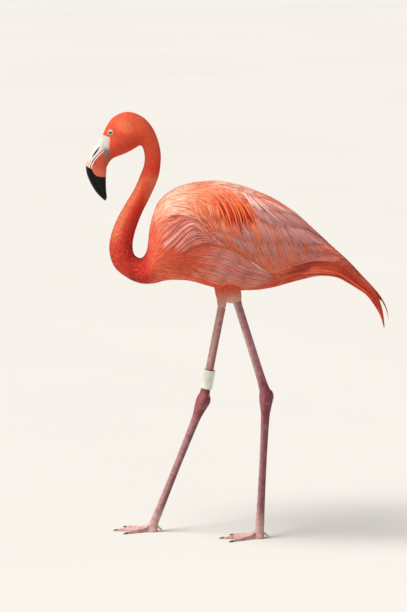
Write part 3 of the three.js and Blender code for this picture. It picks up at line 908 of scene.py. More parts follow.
def claw_shape(leg, turn, length):
    """A claw that curves down from inside the toe's tip: its radius falls along it as the square root of
    what is left."""
    rows = []
    for t in np.linspace(0, 1, 12):
        radius = 1.9 * np.sqrt(1.03 - t)
        rows.append([*on_toe(leg, turn, length - 3 + 9.5 * t, 2.5 - 1.6 * t**2), radius, radius])
    return tube(grid(limb(rows), np.linspace(0, 11, 22), around(TOE_SIDES)))


# ---------------------------------------------------------------------------------------------
# Eyes and lids
# ---------------------------------------------------------------------------------------------

GAZE = np.array([-0.3, 1, 0.1])


def eye_axes(side):
    """The eye's outward axis and two directions across it."""
    axis = unit(GAZE * [1, side, 1])
    first = unit(np.cross(axis, (0, 0, 1)))
    return axis, first, np.cross(first, axis)


def eye_shape(side):
    """A ball round the eye's axis, with a cornea that stands 0.3 mm proud over the iris."""
    axis, first, second = eye_axes(side)
    tilt = np.linspace(0.02, pi - 0.02, 49)
    turn = around(64)
    t, q = np.meshgrid(tilt, turn, indexing="ij")
    radius = EYE_RADIUS * (0.985 + 0.045 * np.exp(-((t / 0.5) ** 2)))
    spin = np.cos(q)[..., None] * first + np.sin(q)[..., None] * second
    ball = radius[..., None] * (np.cos(t)[..., None] * axis + np.sin(t)[..., None] * spin)
    places = np.stack([q / (2 * pi), t / pi], -1).reshape(-1, 2)
    places = np.concatenate([places, [[0.5, 0], [0.5, 1]]])
    return tube(ball + EYE * [1, side, 1]), places


# One section of the lids, from inside the opening out over the lip: distance from the axis, height along it
LID_SECTION = np.array(
    [
        [4.7, 3.6], [4.8, 4.7], [5.0, 5.3], [5.4, 5.4], [5.9, 5.0],
        [6.6, 4.2], [7.6, 3.1], [8.6, 1.4], [8.2, -1.5], [6.4, -1],
    ]
)
LID_TURNS, LID_SIDES = 96, 40


def lid_shape(side):
    """A closed ring of the lid's section, carried round the eye's axis: 6 % longer than round one way and
    shorter the other, with a finely pleated lip and a heavier upper lid."""
    axis, first, second = eye_axes(side)
    count = len(LID_SECTION)
    wrapped = np.concatenate([LID_SECTION, LID_SECTION[:1]])
    section = spline(wrapped, np.linspace(0, count, LID_SIDES + 1)[:-1])
    q, k = np.meshgrid(around(LID_TURNS), np.arange(LID_SIDES), indexing="ij")
    far, high = section[k, 0], section[k, 1]
    lip = np.exp(-(((far - 5.2) / 0.8) ** 2)) * (high > 3)
    far = far * (1 + 0.06 * np.cos(2 * q)) - 0.9 * lip * smooth(np.sin(q) * 1.3)
    high = high + lip * (0.08 * np.sin(q * 24) + 0.4 * smooth(np.sin(q)))
    spin = np.cos(q)[..., None] * first + np.sin(q)[..., None] * second
    ring = MM * (high[..., None] * axis + far[..., None] * spin) + EYE * [1, side, 1]
    i, j = np.meshgrid(np.arange(LID_TURNS) * LID_SIDES, np.arange(LID_SIDES), indexing="ij")
    n, m = (i + LID_SIDES) % (LID_TURNS * LID_SIDES), (j + 1) % LID_SIDES
    quads = np.stack([i + j, n + j, n + m, i + m], -1).reshape(-1, 4)
    return outward(ring.reshape(-1, 3), [quads])


# ---------------------------------------------------------------------------------------------
# Skin
# ---------------------------------------------------------------------------------------------


def skin_rows():
    """Section indices of the skin's rings: 0.9 to 1.6 mm apart on the head, up to 3 mm on the neck and 5 mm
    on the body."""
    fine = np.linspace(0, RUMP + 1.6, 3000)
    places = spline(SECTIONS, fine)
    step = np.linalg.norm(np.diff((places[:, 0:2] + places[:, 2:4]) / 2, axis=0), axis=1)
    wanted = MM * np.interp(fine[1:], [0, 5, 8, 10, 20, 24], [0.9, 1.4, 1.6, 2.6, 3, 5])
    run = np.concatenate([[0], np.cumsum(step / wanted)])
    return np.interp(np.arange(0, run[-1]), run, fine)


SKIN_SIDES = 110
SOCKET_DEPTH, SOCKET_REACH = 3.5 * MM, 5.2 * MM


def body_skin():
    """The skin of head, neck and body, closed under the bill and at the rump, with a shallow socket where
    each eye sits."""
    rings = grid(skin, skin_rows(), around(SKIN_SIDES))
    for side in SIDES.values():
        near = np.linalg.norm(rings - EYE * [1, side, 1], axis=-1, keepdims=True)
        rings = rings - np.array([0, side, 0]) * SOCKET_DEPTH * np.exp(-((near / SOCKET_REACH) ** 4))
    return tube(rings)


def fused(shapes):
    """Closed shapes joined by boolean union into one closed surface of triangles."""
    parts = []
    for points, faces in shapes:
        mesh = bpy.data.meshes.new("part")
        mesh.from_pydata(points.tolist(), [], [corners for some in faces for corners in some.tolist()])
        part = bpy.data.objects.new("part", mesh)
        bpy.context.collection.objects.link(part)
        parts.append(part)
    for other in parts[1:]:
        union = parts[0].modifiers.new("union", "BOOLEAN")
        union.operation, union.solver, union.object = "UNION", "MANIFOLD", other
    whole = bpy.data.meshes.new_from_object(parts[0].evaluated_get(bpy.context.evaluated_depsgraph_get()))
    whole.calc_loop_triangles()
    points = np.empty(3 * len(whole.vertices), np.float32)
    corners = np.empty(3 * len(whole.loop_triangles), np.int32)
    whole.vertices.foreach_get("co", points)
    whole.loop_triangles.foreach_get("vertices", corners)
    for part in parts:
        bpy.data.objects.remove(part)
    return points.reshape(-1, 3).astype(float), [corners.reshape(-1, 3)]


def smoothed(points, corners, weight, rounds):
    """Each point moved towards the mean of its neighbours by its weight, a number of times."""
    here, there = corners.ravel(), np.roll(corners, -1, 1).ravel()
    count = np.bincount(here, minlength=len(points))[:, None]
    for _ in range(rounds):
        sums = [np.bincount(here, points[there, k], len(points)) for k in range(3)]
        points = points + (np.stack(sums, -1) / count - points) * weight[:, None]
    return points


def make_skin():
    """Head, neck, body, lids, legs and feet as one surface, softened where the legs meet the feet and where
    the lids meet the head."""
    shapes = [body_skin(), lid_shape(LEFT), lid_shape(RIGHT)]
    for leg in LEGS.values():
        shapes += [leg_shape(leg), foot_shape(leg), hind_toe_shape(leg)]
    points, faces = fused(shapes)
    weight = np.zeros(len(points))
    for leg in LEGS.values():
        far = np.hypot(*(points[:, :2] / MM - leg["foot"]).T)
        high = points[:, 2] / MM
        weight += 0.5 * smooth((34 - far) / 10) * smooth((high - 3.5) / 2) * smooth((34 - high) / 10)
    for side in SIDES.values():
        far = from_eye(points) / MM
        weight += 0.5 * smooth((far - 5.8) / 0.8) * smooth((11 - far) / 2) * (points[:, 1] * side > 6 * MM)
    shape = smoothed(points, faces[0], weight, 12), faces
    nodes = ["head", "neck_upper", "neck_middle", "neck_lower", "trunk"]
    for name in LEGS:
        nodes += [f"{part}_{name}" for part in ("thigh", "shank", "tarsus", "foot", "hind_toe")]
    piece("skin", shape, SKIN, nodes, skin_colour(shape[0]))


make_skin()
for name, leg in LEGS.items():
    for toe, (turn, length) in TOES.items():
        node = f"claw_{name}_{toe}"
        piece(f"{node}_horn", claw_shape(leg, turn, length), CLAW_HORN, [node])
for name, side in SIDES.items():
    shape, places = eye_shape(side)
    piece(f"eyeball_{name}", shape, EYE_WET, [f"eye_{name}"], maps={"iris": places})

# ---------------------------------------------------------------------------------------------
# Bill
# ---------------------------------------------------------------------------------------------

# Each row is one section: outer edge x and z, mouth-line x and z, and half its width.
UPPER_BILL = np.array(
    [
        [-266, 820.5, -262.5, 797.5, 11.2],
        [-270, 819.5, -266.2, 794.4, 11.6],
        [-277, 809.5, -271, 790.6, 11.8],
        [-284, 799, -276.6, 785.6, 11.8],
        [-291, 788, -283.2, 778.6, 11.6],
        [-298, 776.5, -289.4, 770.2, 11.2],
        [-302.2, 763, -292.9, 760, 10.8],
        [-301.4, 749, -291.8, 748, 10],
        [-297.4, 736, -288.4, 736.6, 9],
        [-291, 722.5, -282.8, 724.4, 7.8],
        [-281.5, 707.5, -275, 711, 6.2],
        [-271, 696.5, -267.6, 700.4, 4],
        [-264, 690.6, -261.4, 694, 1.6],
    ]
)
LOWER_BILL = np.array(
    [
        [-257, 766, -262.8, 797, 11.6],
        [-260.2, 759.6, -265.9, 793.8, 12],
        [-261.4, 749, -271.5, 788.6, 13],
        [-262, 741, -278, 783, 13.2],
        [-262.2, 734, -285.4, 774.6, 12.8],
        [-262.2, 727, -290.8, 764.4, 12],
        [-262.2, 721, -291.8, 755, 11],
        [-262, 715, -289, 742.6, 9.6],
        [-261.6, 709, -283.6, 731, 8],
        [-261, 703, -275.6, 717.6, 6.2],
        [-260.6, 698, -268.4, 705.2, 4],
        [-261.2, 695, -263.4, 698, 1.6],
    ]
)
# The lower half's mouth line follows the upper's, a hair behind it, so that the closed bill has no gap.
UPPER_MOUTH = UPPER_BILL[::-1, 2:4]
LOWER_BILL[:, 2] = np.interp(LOWER_BILL[:, 3], UPPER_MOUTH[:, 1], UPPER_MOUTH[:, 0]) + 0.2
# The nostril's two ends, half its width, and its depth
NOSTRIL = MM * np.array([[-274.5, 800], [-289, 780.5]])
NOSTRIL_HALF, NOSTRIL_DEPTH = 1.25 * MM, 1.6 * MM
# Where the black begins, in side view
BLACK_EDGE = np.array(
    [[-304, 763.5], [-295, 758.5], [-291, 757], [-286, 747], [-280, 741.5], [-262, 739], [-255, 739]]
)
BILL_RINGS, BILL_SIDES = 190, 73


def to_segment(x, z, ends):
    """The distance of places from a straight stretch, and how far along it they lie."""
    step = ends[1] - ends[0]
    share = ((x - ends[0, 0]) * step[0] + (z - ends[0, 1]) * step[1]) / (step @ step)
    share = np.clip(share, 0, 1)
    return np.hypot(x - ends[0, 0] - share * step[0], z - ends[0, 1] - share * step[1]), share


def make_bill(name, rows, arch, keel, finish):
    """A half of the bill: at row p and turn t the arch lies sin t to a power of the way from the mouth line
    to the outer edge, and cos t of the half width across. The mouth side is flat with a small bevel, a
    groove is cut along the slit of the nostril, and keel flattens the sides."""
    turn = np.linspace(0, pi, BILL_SIDES)
    p, t = np.meshgrid(np.linspace(0, len(rows) - 1, BILL_RINGS), turn, indexing="ij")
    row = MM * spline(rows, p)
    rise = np.sin(t) ** arch
    middle = row[..., 2:4] + (row[..., 0:2] - row[..., 2:4]) * rise[..., None]
    across = row[..., 4] * np.sign(np.cos(t)) * np.abs(np.cos(t)) ** keel
    rings = np.stack([middle[..., 0], across, middle[..., 1]], -1)
    far, share = to_segment(rings[..., 0], rings[..., 2], NOSTRIL)
    half = NOSTRIL_HALF * (0.35 + np.sin(pi * np.clip(share, 0.03, 0.97)))
    slit = np.exp(-((far / half) ** 2)) * (name == "bill_upper_half") * (np.abs(across) > 4 * MM)
    rings[..., 1] -= np.sign(across) * slit * NOSTRIL_DEPTH
    shape = tube(rings)
    points = shape[0]
    ink = points[:, 2] - np.interp(points[:, 0] / MM, BLACK_EDGE[:, 0], BLACK_EDGE[:, 1]) * MM
    lip = np.linalg.norm(row[..., 0:2] - row[..., 2:4], axis=-1) * rise
    ends = [[lip[0].mean()], [lip[-1].mean()]]
    from_face = np.linalg.norm(rings - rings[:1], axis=-1) / MM
    fields = {
        "mark": ink / MM,
        "lip": np.concatenate([lip.ravel(), *ends]) / MM,
        "slit": np.concatenate([slit.ravel(), [0], [0]]),
        "from_face": np.concatenate([from_face.ravel(), [0], [60]]),
    }
    growth = np.stack([p / len(rows), t / pi], -1).reshape(-1, 2)
    maps = {"growth": np.concatenate([growth, [[0, 0.5], [1, 0.5]]])}
    piece(name, shape, finish, [name.replace("_half", "")], fields=fields, maps=maps)


make_bill("bill_upper_half", UPPER_BILL, 0.8, 1.0, UPPER_HORN)
make_bill("bill_lower_half", LOWER_BILL, 0.9, 0.85, LOWER_HORN)

# ---------------------------------------------------------------------------------------------
# Leg band
# ---------------------------------------------------------------------------------------------

# The band's height, its walls, the radius round both, and where its middle is from hem to ankle
BAND_HEIGHT, BAND_WALL, BAND_OUTER, BAND_SHARE = 39, 2, 13.2, 0.78


def make_band():
    """A plastic strip wound once and a quarter round the shank: a rounded oblong section carried along a
    spiral that steps out by one wall over its overlap."""
    hem, ankle = (np.array(LEGS["right"][key], float) for key in ("hem", "ankle"))
    up = unit(hem - ankle)
    fore = unit(np.cross((0, 1, 0), up))
    side = np.cross(up, fore)
    corner = around(48)
    roundness = 0.18
    section = np.stack([np.sign(f(corner)) * np.abs(f(corner)) ** roundness for f in (np.cos, np.sin)], -1)
    turn = np.linspace(-0.15, 2 * pi + 1.0, 120)
    out = BAND_OUTER - BAND_WALL * 1.6 + BAND_WALL * smooth((turn - 2 * pi + 0.7) / 0.8)
    radius = out[:, None] + section[:, 0] * (BAND_WALL * 0.46)
    height = section[:, 1] * BAND_HEIGHT / 2
    rings = (
        between(hem, ankle, BAND_SHARE)
        + height[:, None] * up
        + (radius * np.cos(turn)[:, None])[..., None] * fore
        + (radius * np.sin(turn)[:, None])[..., None] * side
    )
    piece("band_strip", tube(MM * rings), BAND_PLASTIC, ["leg_band"])


make_band()

# ---------------------------------------------------------------------------------------------
# Coat: how feathers are made
# ---------------------------------------------------------------------------------------------

PATCH = 0.003  # the size of one feather on the bake map
COMB_REACH = 26  # how far each comb of the lie reaches


def lie_by(combs):
    """Which way feathers lie. Combs are rows of x, z and an angle in side view, up from the tail's
    direction: each counts by the bell curve of its distance, and the mean direction is laid on the
    surface."""
    combs = np.array(combs, float)
    aim = np.stack([np.cos(np.radians(combs[:, 2])), np.sin(np.radians(combs[:, 2]))], -1)

    def lie(points, normal, along):
        flat = points[..., [0, 2]][..., None, :] / MM - combs[:, :2]
        weight = np.exp(-(flat**2).sum(-1) / (2 * COMB_REACH**2)) + 1e-9
        mean = unit((weight[..., None] * aim).sum(-2))
        way = np.stack([mean[..., 0], np.zeros(mean.shape[:-1]), mean[..., 1]], -1)
        return unit(way - (way * normal).sum(-1, keepdims=True) * normal)

    return lie


def lie_along(points, normal, along):
    """Straight along the sections, from head to tail or from hip to foot."""
    return unit(along)


def bake_place(index, turn, span):
    """A root's place on the unwrap of its surface: how far along the span, how far round."""
    along, round_share = (index - span[0]) / (span[1] - span[0]), (turn % (2 * pi)) / (2 * pi)
    return 0.02 + 0.96 * np.clip(np.stack([along, round_share], -1), 0, 1)


RING_POINTS = 181
ROOT_STEP = 0.02  # the step in index that measures how far apart two rows lie


def roots(surface, span, along, across, seed):
    """Staggered rows of roots over a surface, along and across apart in millimetres. Rows are spaced by the
    longest of eight sides, roots within a row are evenly spaced round it, each is moved a little at random,
    and where rows crowd together roots are left out."""
    rng = np.random.default_rng(seed)
    fine = np.linspace(*span, 900)
    sides = grid(surface, fine, around(8))
    step = np.linalg.norm(np.diff(sides, axis=0), axis=2)
    gap = MM * field(along, fine[1:])
    run = np.concatenate([[0], np.cumsum(step.max(1) / gap)])
    rows = np.interp(np.arange(0.3, run[-1]), run, fine)
    spacing = np.interp(rows, fine[1:], np.broadcast_to(gap, fine[1:].shape))
    turns = np.linspace(0, 2 * pi, RING_POINTS)
    index, turn = [], []
    for i, row in enumerate(rows):
        ring = surface(np.full(RING_POINTS, row), turns)
        ahead = surface(np.full(RING_POINTS, row + ROOT_STEP), turns)
        length = np.concatenate([[0], np.cumsum(np.linalg.norm(np.diff(ring, axis=0), axis=1))])
        count = max(int(length[-1] / (MM * field(across, row))), 4)
        at = (np.arange(count) + 0.5 * (i % 2) + rng.uniform(-0.3, 0.3, count)) / count % 1
        place = np.interp(at * length[-1], length, turns)
        reach = np.linalg.norm(ahead - ring, axis=1)
        share = np.interp(place, turns, reach / reach.max())
        keep = rng.random(count) < share * 1.15
        pitch = spacing[i] / (reach.max() / ROOT_STEP)
        index.append(row + rng.uniform(-0.3, 0.3, count)[keep] * pitch)
        turn.append(place[keep])
    return np.concatenate(index), np.concatenate(turn)


def strands(surface, index, turn, length, stations, lie, last):
    """Centre lines of feathers: from each root the line walks over the surface the way the coat lies, no
    further than the last index, and is noted at each station, a share of the length. A step on the surface
    solves two equations for the steps in index and turn that give the wanted step in space."""
    places, normals = [], []
    for here, there in zip(stations, [*stations[1:], None]):
        point, normal, along, across = slopes(surface, index, turn)
        places.append(point)
        normals.append(normal)
        if there is None:
            break
        way = lie(point, normal, along) * (length * (there - here))[:, None]
        e, f, g = ((a * b).sum(-1) for a, b in ((along, along), (along, across), (across, across)))
        u, v = (along * way).sum(-1), (across * way).sum(-1)
        area = np.maximum(e * g - f * f, 1e-14)
        index = index + (g * u - f * v) / area
        turn = turn + (e * v - f * u) / area
        if last is not None:
            index = np.minimum(index, last)
    return np.stack(places, 1), np.stack(normals, 1)


def vane_width(share, point):
    """A feather's half width along it: quick to widen, then down to a round tip, or a slender one for a
    higher point."""
    end = np.sqrt(np.clip(1 - share ** (5 - 3.4 * point), 0, 1)) ** (1 + point)
    return (0.45 + 0.55 * smooth(share / 0.3)) * end


def vanes(lines, normals, width, lift, stations, *, point, across, crown, droop, twist):
    """Closed feathers over centre lines: at each station a row of points across, bowed by crown at the
    middle and let down by droop at the edges, over a flat underside, and turned by twist towards the tip.
    Faces are tops, undersides and the two ends."""
    count, rows = lines.shape[:2]
    way = unit(np.gradient(lines, axis=1))
    side = unit(np.cross(normals, way))
    up = np.cross(way, side)
    angle = (twist[:, None] * stations)[..., None]
    side, up = side * np.cos(angle) + up * np.sin(angle), up * np.cos(angle) - side * np.sin(angle)
    c = np.linspace(-1, 1, across)
    half = width[:, None] * np.maximum(vane_width(stations, point), 0.06)
    bow = crown * (1 - np.abs(c) ** 1.5) - droop * c**2
    shape = (
        lines[:, :, None]
        + (up * lift[..., None])[:, :, None]
        + side[:, :, None] * (half[..., None] * c)[..., None]
        + up[:, :, None] * (half[..., None] * bow)[..., None]
    )
    first = (np.arange(count) * rows * across)[:, None, None]
    j, k = np.meshgrid(np.arange(rows - 1), np.arange(across - 1), indexing="ij")
    corner = first + j * across + k
    tops = np.stack([corner, corner + across, corner + across + 1, corner + 1], -1).reshape(-1, 4)
    left = first[:, 0] + np.arange(rows - 1) * across
    right = left + across - 1
    unders = np.stack([left, right, right + across, left + across], -1).reshape(-1, 4)
    row = np.arange(across)
    root_ends = first[:, 0] + row
    tip_ends = (first[:, 0] + (rows - 1) * across + row)[:, ::-1]
    return outward(shape.reshape(-1, 3), [tops, unders, root_ends, tip_ends])


def feather_maps(count, stations, across, base, rng):
    """Two maps: vane runs across and along each feather, with a whole number of its own added across, and
    OFBake is a small patch at its root's place."""
    s, c = np.meshgrid(stations, np.linspace(0, 1, across), indexing="ij")
    own = np.broadcast_to(np.stack([c, s], -1), (count, len(stations), across, 2))
    bake = base[:, None, None] + PATCH * (own - 0.5)
    number = np.zeros((count, 1, 1, 2))
    number[..., 0] = rng.integers(0, 60, count)[:, None, None]
    return {"vane": (own + number).reshape(-1, 2), "OFBake": bake.reshape(-1, 2)}


def feather_tint(tint, stations, across, edge, tip, rng, spread, root=None):
    """A colour for each point: the feather's own, a little lighter or darker than its neighbours', turning to
    edge at its sides, to tip at its end, and at its root to the colour given there, or a little darker as
    painted shade under the feathers that cover it.
    edge and tip are (colour, share)."""
    count = len(tint)
    shade = np.exp(rng.normal(0, spread, (count, 1))) * (1 + rng.normal(0, spread / 4, (count, 3)))
    tint = np.clip(tint * shade, 0, 1)[:, None, None]
    c = np.abs(np.linspace(-1, 1, across))[:, None]
    s = stations[:, None, None]
    for (other, share), place in ((edge, c**1.5), (tip, s**2.5)):
        other = other[:, None, None] if other.ndim == 2 else other
        tint = tint + (other - tint) * share * place
    start = 1 - smooth(s / 0.4)
    if root is None:
        # painted shade: the root, under the feathers that cover it, a little darker
        tint = tint * (1 - 0.06 * start)
    else:
        tint = tint + (root[:, None, None] - tint) * (0.8 * start)
    return np.broadcast_to(tint, (count, len(stations), across, 3)).reshape(-1, 3)


def heights(low, high, stations):
    """How high feathers stand at each station, as shares of the coat's depth, from root to tip: quicker to
    rise near the root."""
    return low + (high[:, None] - low) * stations**0.8


def coat(name, surface, span, index, turn, length, width, *, lie, seed, rise, rows, point=0.6, finish=COAT,
         spread=0.06, tint=None, depth=coat_depth, last=None, vary=0.15):
    """One piece of the coat, grown from roots. rise is the shares of the coat's depth at which feathers start
    and end, vary is how much their length differs, and spread how much their colour does."""
    rng = np.random.default_rng(seed)
    count, across = len(index), 3
    stations = np.linspace(0, 1, rows)
    length = length * rng.uniform(1 - vary, 1 + vary, count) * MM
    width = width * rng.uniform(0.85, 1.15, count) * MM / 2
    lines, normals = strands(surface, index, turn, length, stations, lie, last)
    low, high = rise
    lift = depth(index)[:, None] * heights(low, high + rng.uniform(-0.06, 0.04, count), stations)
    twist = rng.normal(0, 0.05, count)
    shape = vanes(lines, normals, width, lift, stations, point=point, across=across, crown=0.1, droop=0.06,
                  twist=twist)
    own = plumage(surface(index, turn)) if tint is None else tint
    paler = np.clip(own * 1.08 + 0.04, 0, 1), 0.22
    colours = feather_tint(own, stations, across, paler, paler, rng, spread)
    maps = feather_maps(count, stations, across, bake_place(index, turn, span), rng)
    piece(name, shape, finish, (), colours, maps=maps, hard=(1,))


def settle(x, z):
    """Where on the right half of the outline a place in side view lies: the nearest of a table of samples,
    then six Newton steps in index and turn, held off the ridge and the keel."""
    index, turn = np.meshgrid(np.arange(20.5, 43, 0.25), np.linspace(0.05, pi - 0.05, 40), indexing="ij")
    index, turn = index.ravel(), turn.ravel()
    table = outline(index, turn)
    best = ((table[:, 0] - x[:, None]) ** 2 + (table[:, 2] - z[:, None]) ** 2).argmin(1)
    index, turn = index[best], turn[best]
    for _ in range(6):
        point, _, along, across = slopes(outline, index, turn)
        u, v = x - point[:, 0], z - point[:, 2]
        area = along[:, 0] * across[:, 2] - across[:, 0] * along[:, 2]
        area = np.where(np.abs(area) < 1e-5, 1e-5, area)
        index = index + np.clip((across[:, 2] * u - across[:, 0] * v) / area, -0.3, 0.3)
        turn = turn + np.clip((along[:, 0] * v - along[:, 2] * u) / area, -0.2, 0.2)
        index, turn = np.clip(index, 20.5, 42.9), np.clip(turn, 0.03, pi - 0.03)
    return np.stack([index, turn], -1)


FAN_STATIONS = 14


def fan(name, guides, layers, *, seed, crown, nodes=None, point=0.9, rows=8, across=3,
        spread=0.06, droop=0.1, wander=0.35, ragged=0.05):
    """Feathers laid side by side along guide strokes, which are given in side view from root to tip and are
    blended across the fan. A layer is (count, start and end as shares of the stroke, width in mm, heights
    of root and tip as shares of the coat's depth, colours across the fan, edge and tip as (colour,
    share)). wander moves feathers sideways and ragged moves their roots and tips, at random."""
    strokes = MM * np.array([spline(g, np.linspace(0, len(g) - 1, FAN_STATIONS)) for g in guides])
    placed = settle(*strokes.reshape(-1, 2).T).reshape(len(guides), FAN_STATIONS, 2)
    for side_name, side in SIDES.items():
        rng = np.random.default_rng(seed)
        shapes, colours, vane_places, bake_places = [], [], [], []
        stations = np.linspace(0, 1, rows)
        for count, start, end, width, low, high, shades, edge, tip in layers:
            at = (np.arange(count) + 0.5 + rng.uniform(-wander, wander, count)) / count
            table = spline(placed, at * (len(guides) - 1))
            begin = start + rng.uniform(-ragged, ragged, count)
            stop = end + rng.uniform(-1.2 * ragged, 0.8 * ragged, count)
            share = np.clip(begin[:, None] + (stop - begin)[:, None] * stations, 0, 1) * (FAN_STATIONS - 1)
            i = np.minimum(share.astype(int), FAN_STATIONS - 2)
            t = (share - i)[..., None]
            k = np.arange(count)[:, None]
            path = table[k, i] * (1 - t) + table[k, i + 1] * t
            index, turn = path[..., 0], path[..., 1] if side == RIGHT else 2 * pi - path[..., 1]
            lines, normals, _, _ = slopes(skin, index, turn)
            lift = coat_depth(index) * heights(low, high + rng.uniform(-0.08, 0.08, count), stations)
            half = width * rng.uniform(0.85, 1.15, count) * MM / 2
            twist = rng.normal(0, 0.08, count)
            shapes.append(vanes(lines, normals, half, lift, stations, point=point, across=across, crown=crown,
                                droop=droop, twist=twist))
            own = np.array(shades)[(np.clip(at, 0, 0.999) * len(shades)).astype(int)]
            root = plumage(lines[:, 0])
            colours.append(feather_tint(own, stations, across, edge, tip, rng, spread, root))
            base = 0.02 + 0.96 * np.stack([at, np.clip(begin, 0, 1) * 0.98], -1)
            maps = feather_maps(count, stations, across, base, rng)
            vane_places.append(maps["vane"])
            bake_places.append(maps["OFBake"])
        points, faces = joined(shapes)
        kinds = [np.concatenate(faces[k::4]) for k in range(4)]
        maps = {"vane": np.concatenate(vane_places), "OFBake": np.concatenate(bake_places)}
        hidden = [f"{nodes}_{side_name}"] if nodes else []
        tint = np.concatenate(colours)
        piece(f"{name}_{side_name}", (points, kinds), COAT, hidden, tint, maps=maps, hard=(1,))


# ---------------------------------------------------------------------------------------------
# Coat: the bird's feathers
# ---------------------------------------------------------------------------------------------


def ear_patch(points):
    """1 over the ear, where the tufts are longer and stand out a little, and 0 elsewhere."""
    return ellipse(points[..., 0], points[..., 2], -226, 843, 15, 11, -35)


def head_coat():
    """Velvet on the head: tufts 2 to 13 mm long, left off the bare face and the lids and shorter round the
    eye, and fine ones along the edge of the bare face."""
    span = (0.05, NECK_START)
    index, turn = roots(skin, span, 2.6, 0.85, 11)
    edge = np.random.default_rng(13).normal(0.2, 0.5, len(index)) * MM
    keep = bare_face(skin(index, turn)) < edge
    index, turn = index[keep], turn[keep]
    ear = ear_patch(skin(index, turn))
    length = field([(0, 3), (2, 5), (5, 7.6), (8, 9)], index) * (1 + 0.25 * ear)
    length = length * (0.4 + 0.6 * smooth((from_eye(skin(index, turn)) - 6 * MM) / (6 * MM)))
    coat("coat_head", skin, span, index, turn, length, length * 0.1 + 0.8, lie=lie_along, seed=12, rows=3,
         rise=(0.3, 0.52 + 0.35 * ear), finish=VELVET, spread=0.04 + 0.14 * ear[:, None], vary=0.25)
    index, turn = roots(skin, (0.05, 5), 1.3, 0.6, 14)
    inside = bare_face(skin(index, turn))
    keep = (inside > -4 * MM) & (inside < np.random.default_rng(15).normal(0.3, 0.6, len(index)) * MM)
    coat("coat_face_edge", skin, span, index[keep], turn[keep], 2.4, 0.7, lie=lie_along, seed=16, rows=3,
         rise=(0.1, 0.6), finish=VELVET, vary=0.3)


def neck_coat():
    """Velvet on the neck in three pieces, tufts 7 to 29 mm long."""
    pieces = {"upper": (8, 12.5, 21), "middle": (12.5, 17, 31), "lower": (17, 22.5, 41)}
    along = [(8, 3.4), (14, 4.4), (18, 6), (22, 8)]
    across = [(8, 1), (14, 1.25), (18, 1.5), (22, 1.8)]
    for name, (start, end, seed) in pieces.items():
        span = (start, end)
        index, turn = roots(skin, span, along, across, seed)
        length = field([(8, 9), (14, 12), (19, 17), (22.5, 22)], index)
        width = field([(8, 1.8), (16, 2.3), (19, 2.8), (22.5, 3.2)], index)
        coat(f"coat_neck_{name}", skin, span, index, turn, length, width, lie=lie_along, seed=seed + 1,
             rows=4, rise=(0.25, 0.6), finish=VELVET, spread=0.07, vary=0.25)


# Rows of x, z and angle for lie_by: the breast, sides, belly and rump, and then the shoulders and the back
BREAST_LIE = [
    (-178, 566, -8), (-170, 600, 40), (-172, 640, 78), (-158, 603, 47), (-150, 640, 55), (-116, 648, 25),
    (-100, 656, 8), (-75, 652, -28), (-106, 597, 35), (-68, 624, 0), (-24, 614, -32), (-60, 590, -8),
    (-20, 575, -22), (28, 560, -22), (-130, 568, 5), (-75, 545, -14), (-41, 522, -18), (11, 519, 2),
    (80, 533, 11), (160, 550, 2), (0, 540, -12), (60, 540, 0), (-150, 530, -6), (-158, 690, 52),
    (-120, 712, 14), (-60, 730, -6), (20, 722, -18), (100, 680, -36), (160, 625, -42), (120, 590, -30),
]
MANTLE_LIE = [
    (-161, 690, 50), (-144, 711, 30), (-118, 707, 0), (-100, 719, -4), (-86, 708, -50), (-79, 690, -70),
    (-58, 657, -64), (-137, 668, 8), (-118, 672, 0), (-97, 664, -25), (-30, 722, -22), (10, 718, -24),
    (60, 700, -30), (120, 660, -38), (-110, 690, -10), (-130, 650, 40), (-95, 680, -45),
]


def body_coat():
    """Broad feathers close to the skin, in four pieces from front to back, and over each a piece of silk:
    slender strands 17 to 60 mm long that give the surface its fine lie."""
    lie = lie_by(BREAST_LIE)
    pieces = {"breast": (21.3, 26, 51), "side": (26, 30, 61), "flank": (30, 34, 71), "rump": (34, 37.1, 81)}
    along = [(21, 4.6), (24, 6), (30, 9)]
    across = [(21, 4), (24, 5.5), (30, 8), (38, 6)]
    silk_along = [(21, 8), (24, 12), (30, 16)]
    silk_across = [(21, 1.6), (24, 1.8), (30, 2)]
    for name, (start, end, seed) in pieces.items():
        span = (start, end)
        index, turn = roots(skin, span, along, across, seed)
        length = field([(21, 19), (24, 28), (30, 42), (38, 38)], index)
        width = field([(21, 8), (24, 12), (30, 17), (38, 12)], index)
        coat(f"coat_{name}", skin, span, index, turn, length, width, lie=lie, seed=seed + 1, rows=5,
             rise=(0.3, 0.5), point=0.3, last=40, spread=0.03)
        index, turn = roots(skin, span, silk_along, silk_across, seed + 2)
        length = field([(21, 22), (24, 34), (30, 46), (38, 42)], index)
        coat(f"silk_{name}", skin, span, index, turn, length, length * 0.05 + 1.8, lie=lie, seed=seed + 3,
             rows=6, rise=(0.42, 0.62), point=0.8, last=40, vary=0.3)


def mantle():
    """Long pale feathers over the shoulders and the back, between the wings, with a few red ones among
    them. None grow below a line over the wings."""
    span = (24, 34)
    index, turn = roots(skin, span, 15, 1.8, 91)
    points = skin(index, turn)
    x, z = points[:, 0] / MM, points[:, 2] / MM
    low = [(-175, 636), (-140, 652), (-95, 672), (-84, 698), (-60, 710), (20, 706), (60, 690), (150, 620)]
    keep = z > field(low, x) + np.random.default_rng(94).normal(0, 3, len(x))
    index, turn = index[keep], turn[keep]
    length = field([(24, 32), (27, 42), (34, 46)], index)
    own = plumage(skin(index, turn))
    red = (np.random.default_rng(93).random((len(own), 1)) < 0.05) * 0.8
    own = own + (CORAL_RED - own) * red
    coat("coat_mantle", skin, span, index, turn, length, length * 0.05 + 1.8, lie=lie_by(MANTLE_LIE), seed=92,
         rows=7, rise=(0.55, 0.76), point=0.8, spread=0.05, last=41, tint=own, vary=0.3)


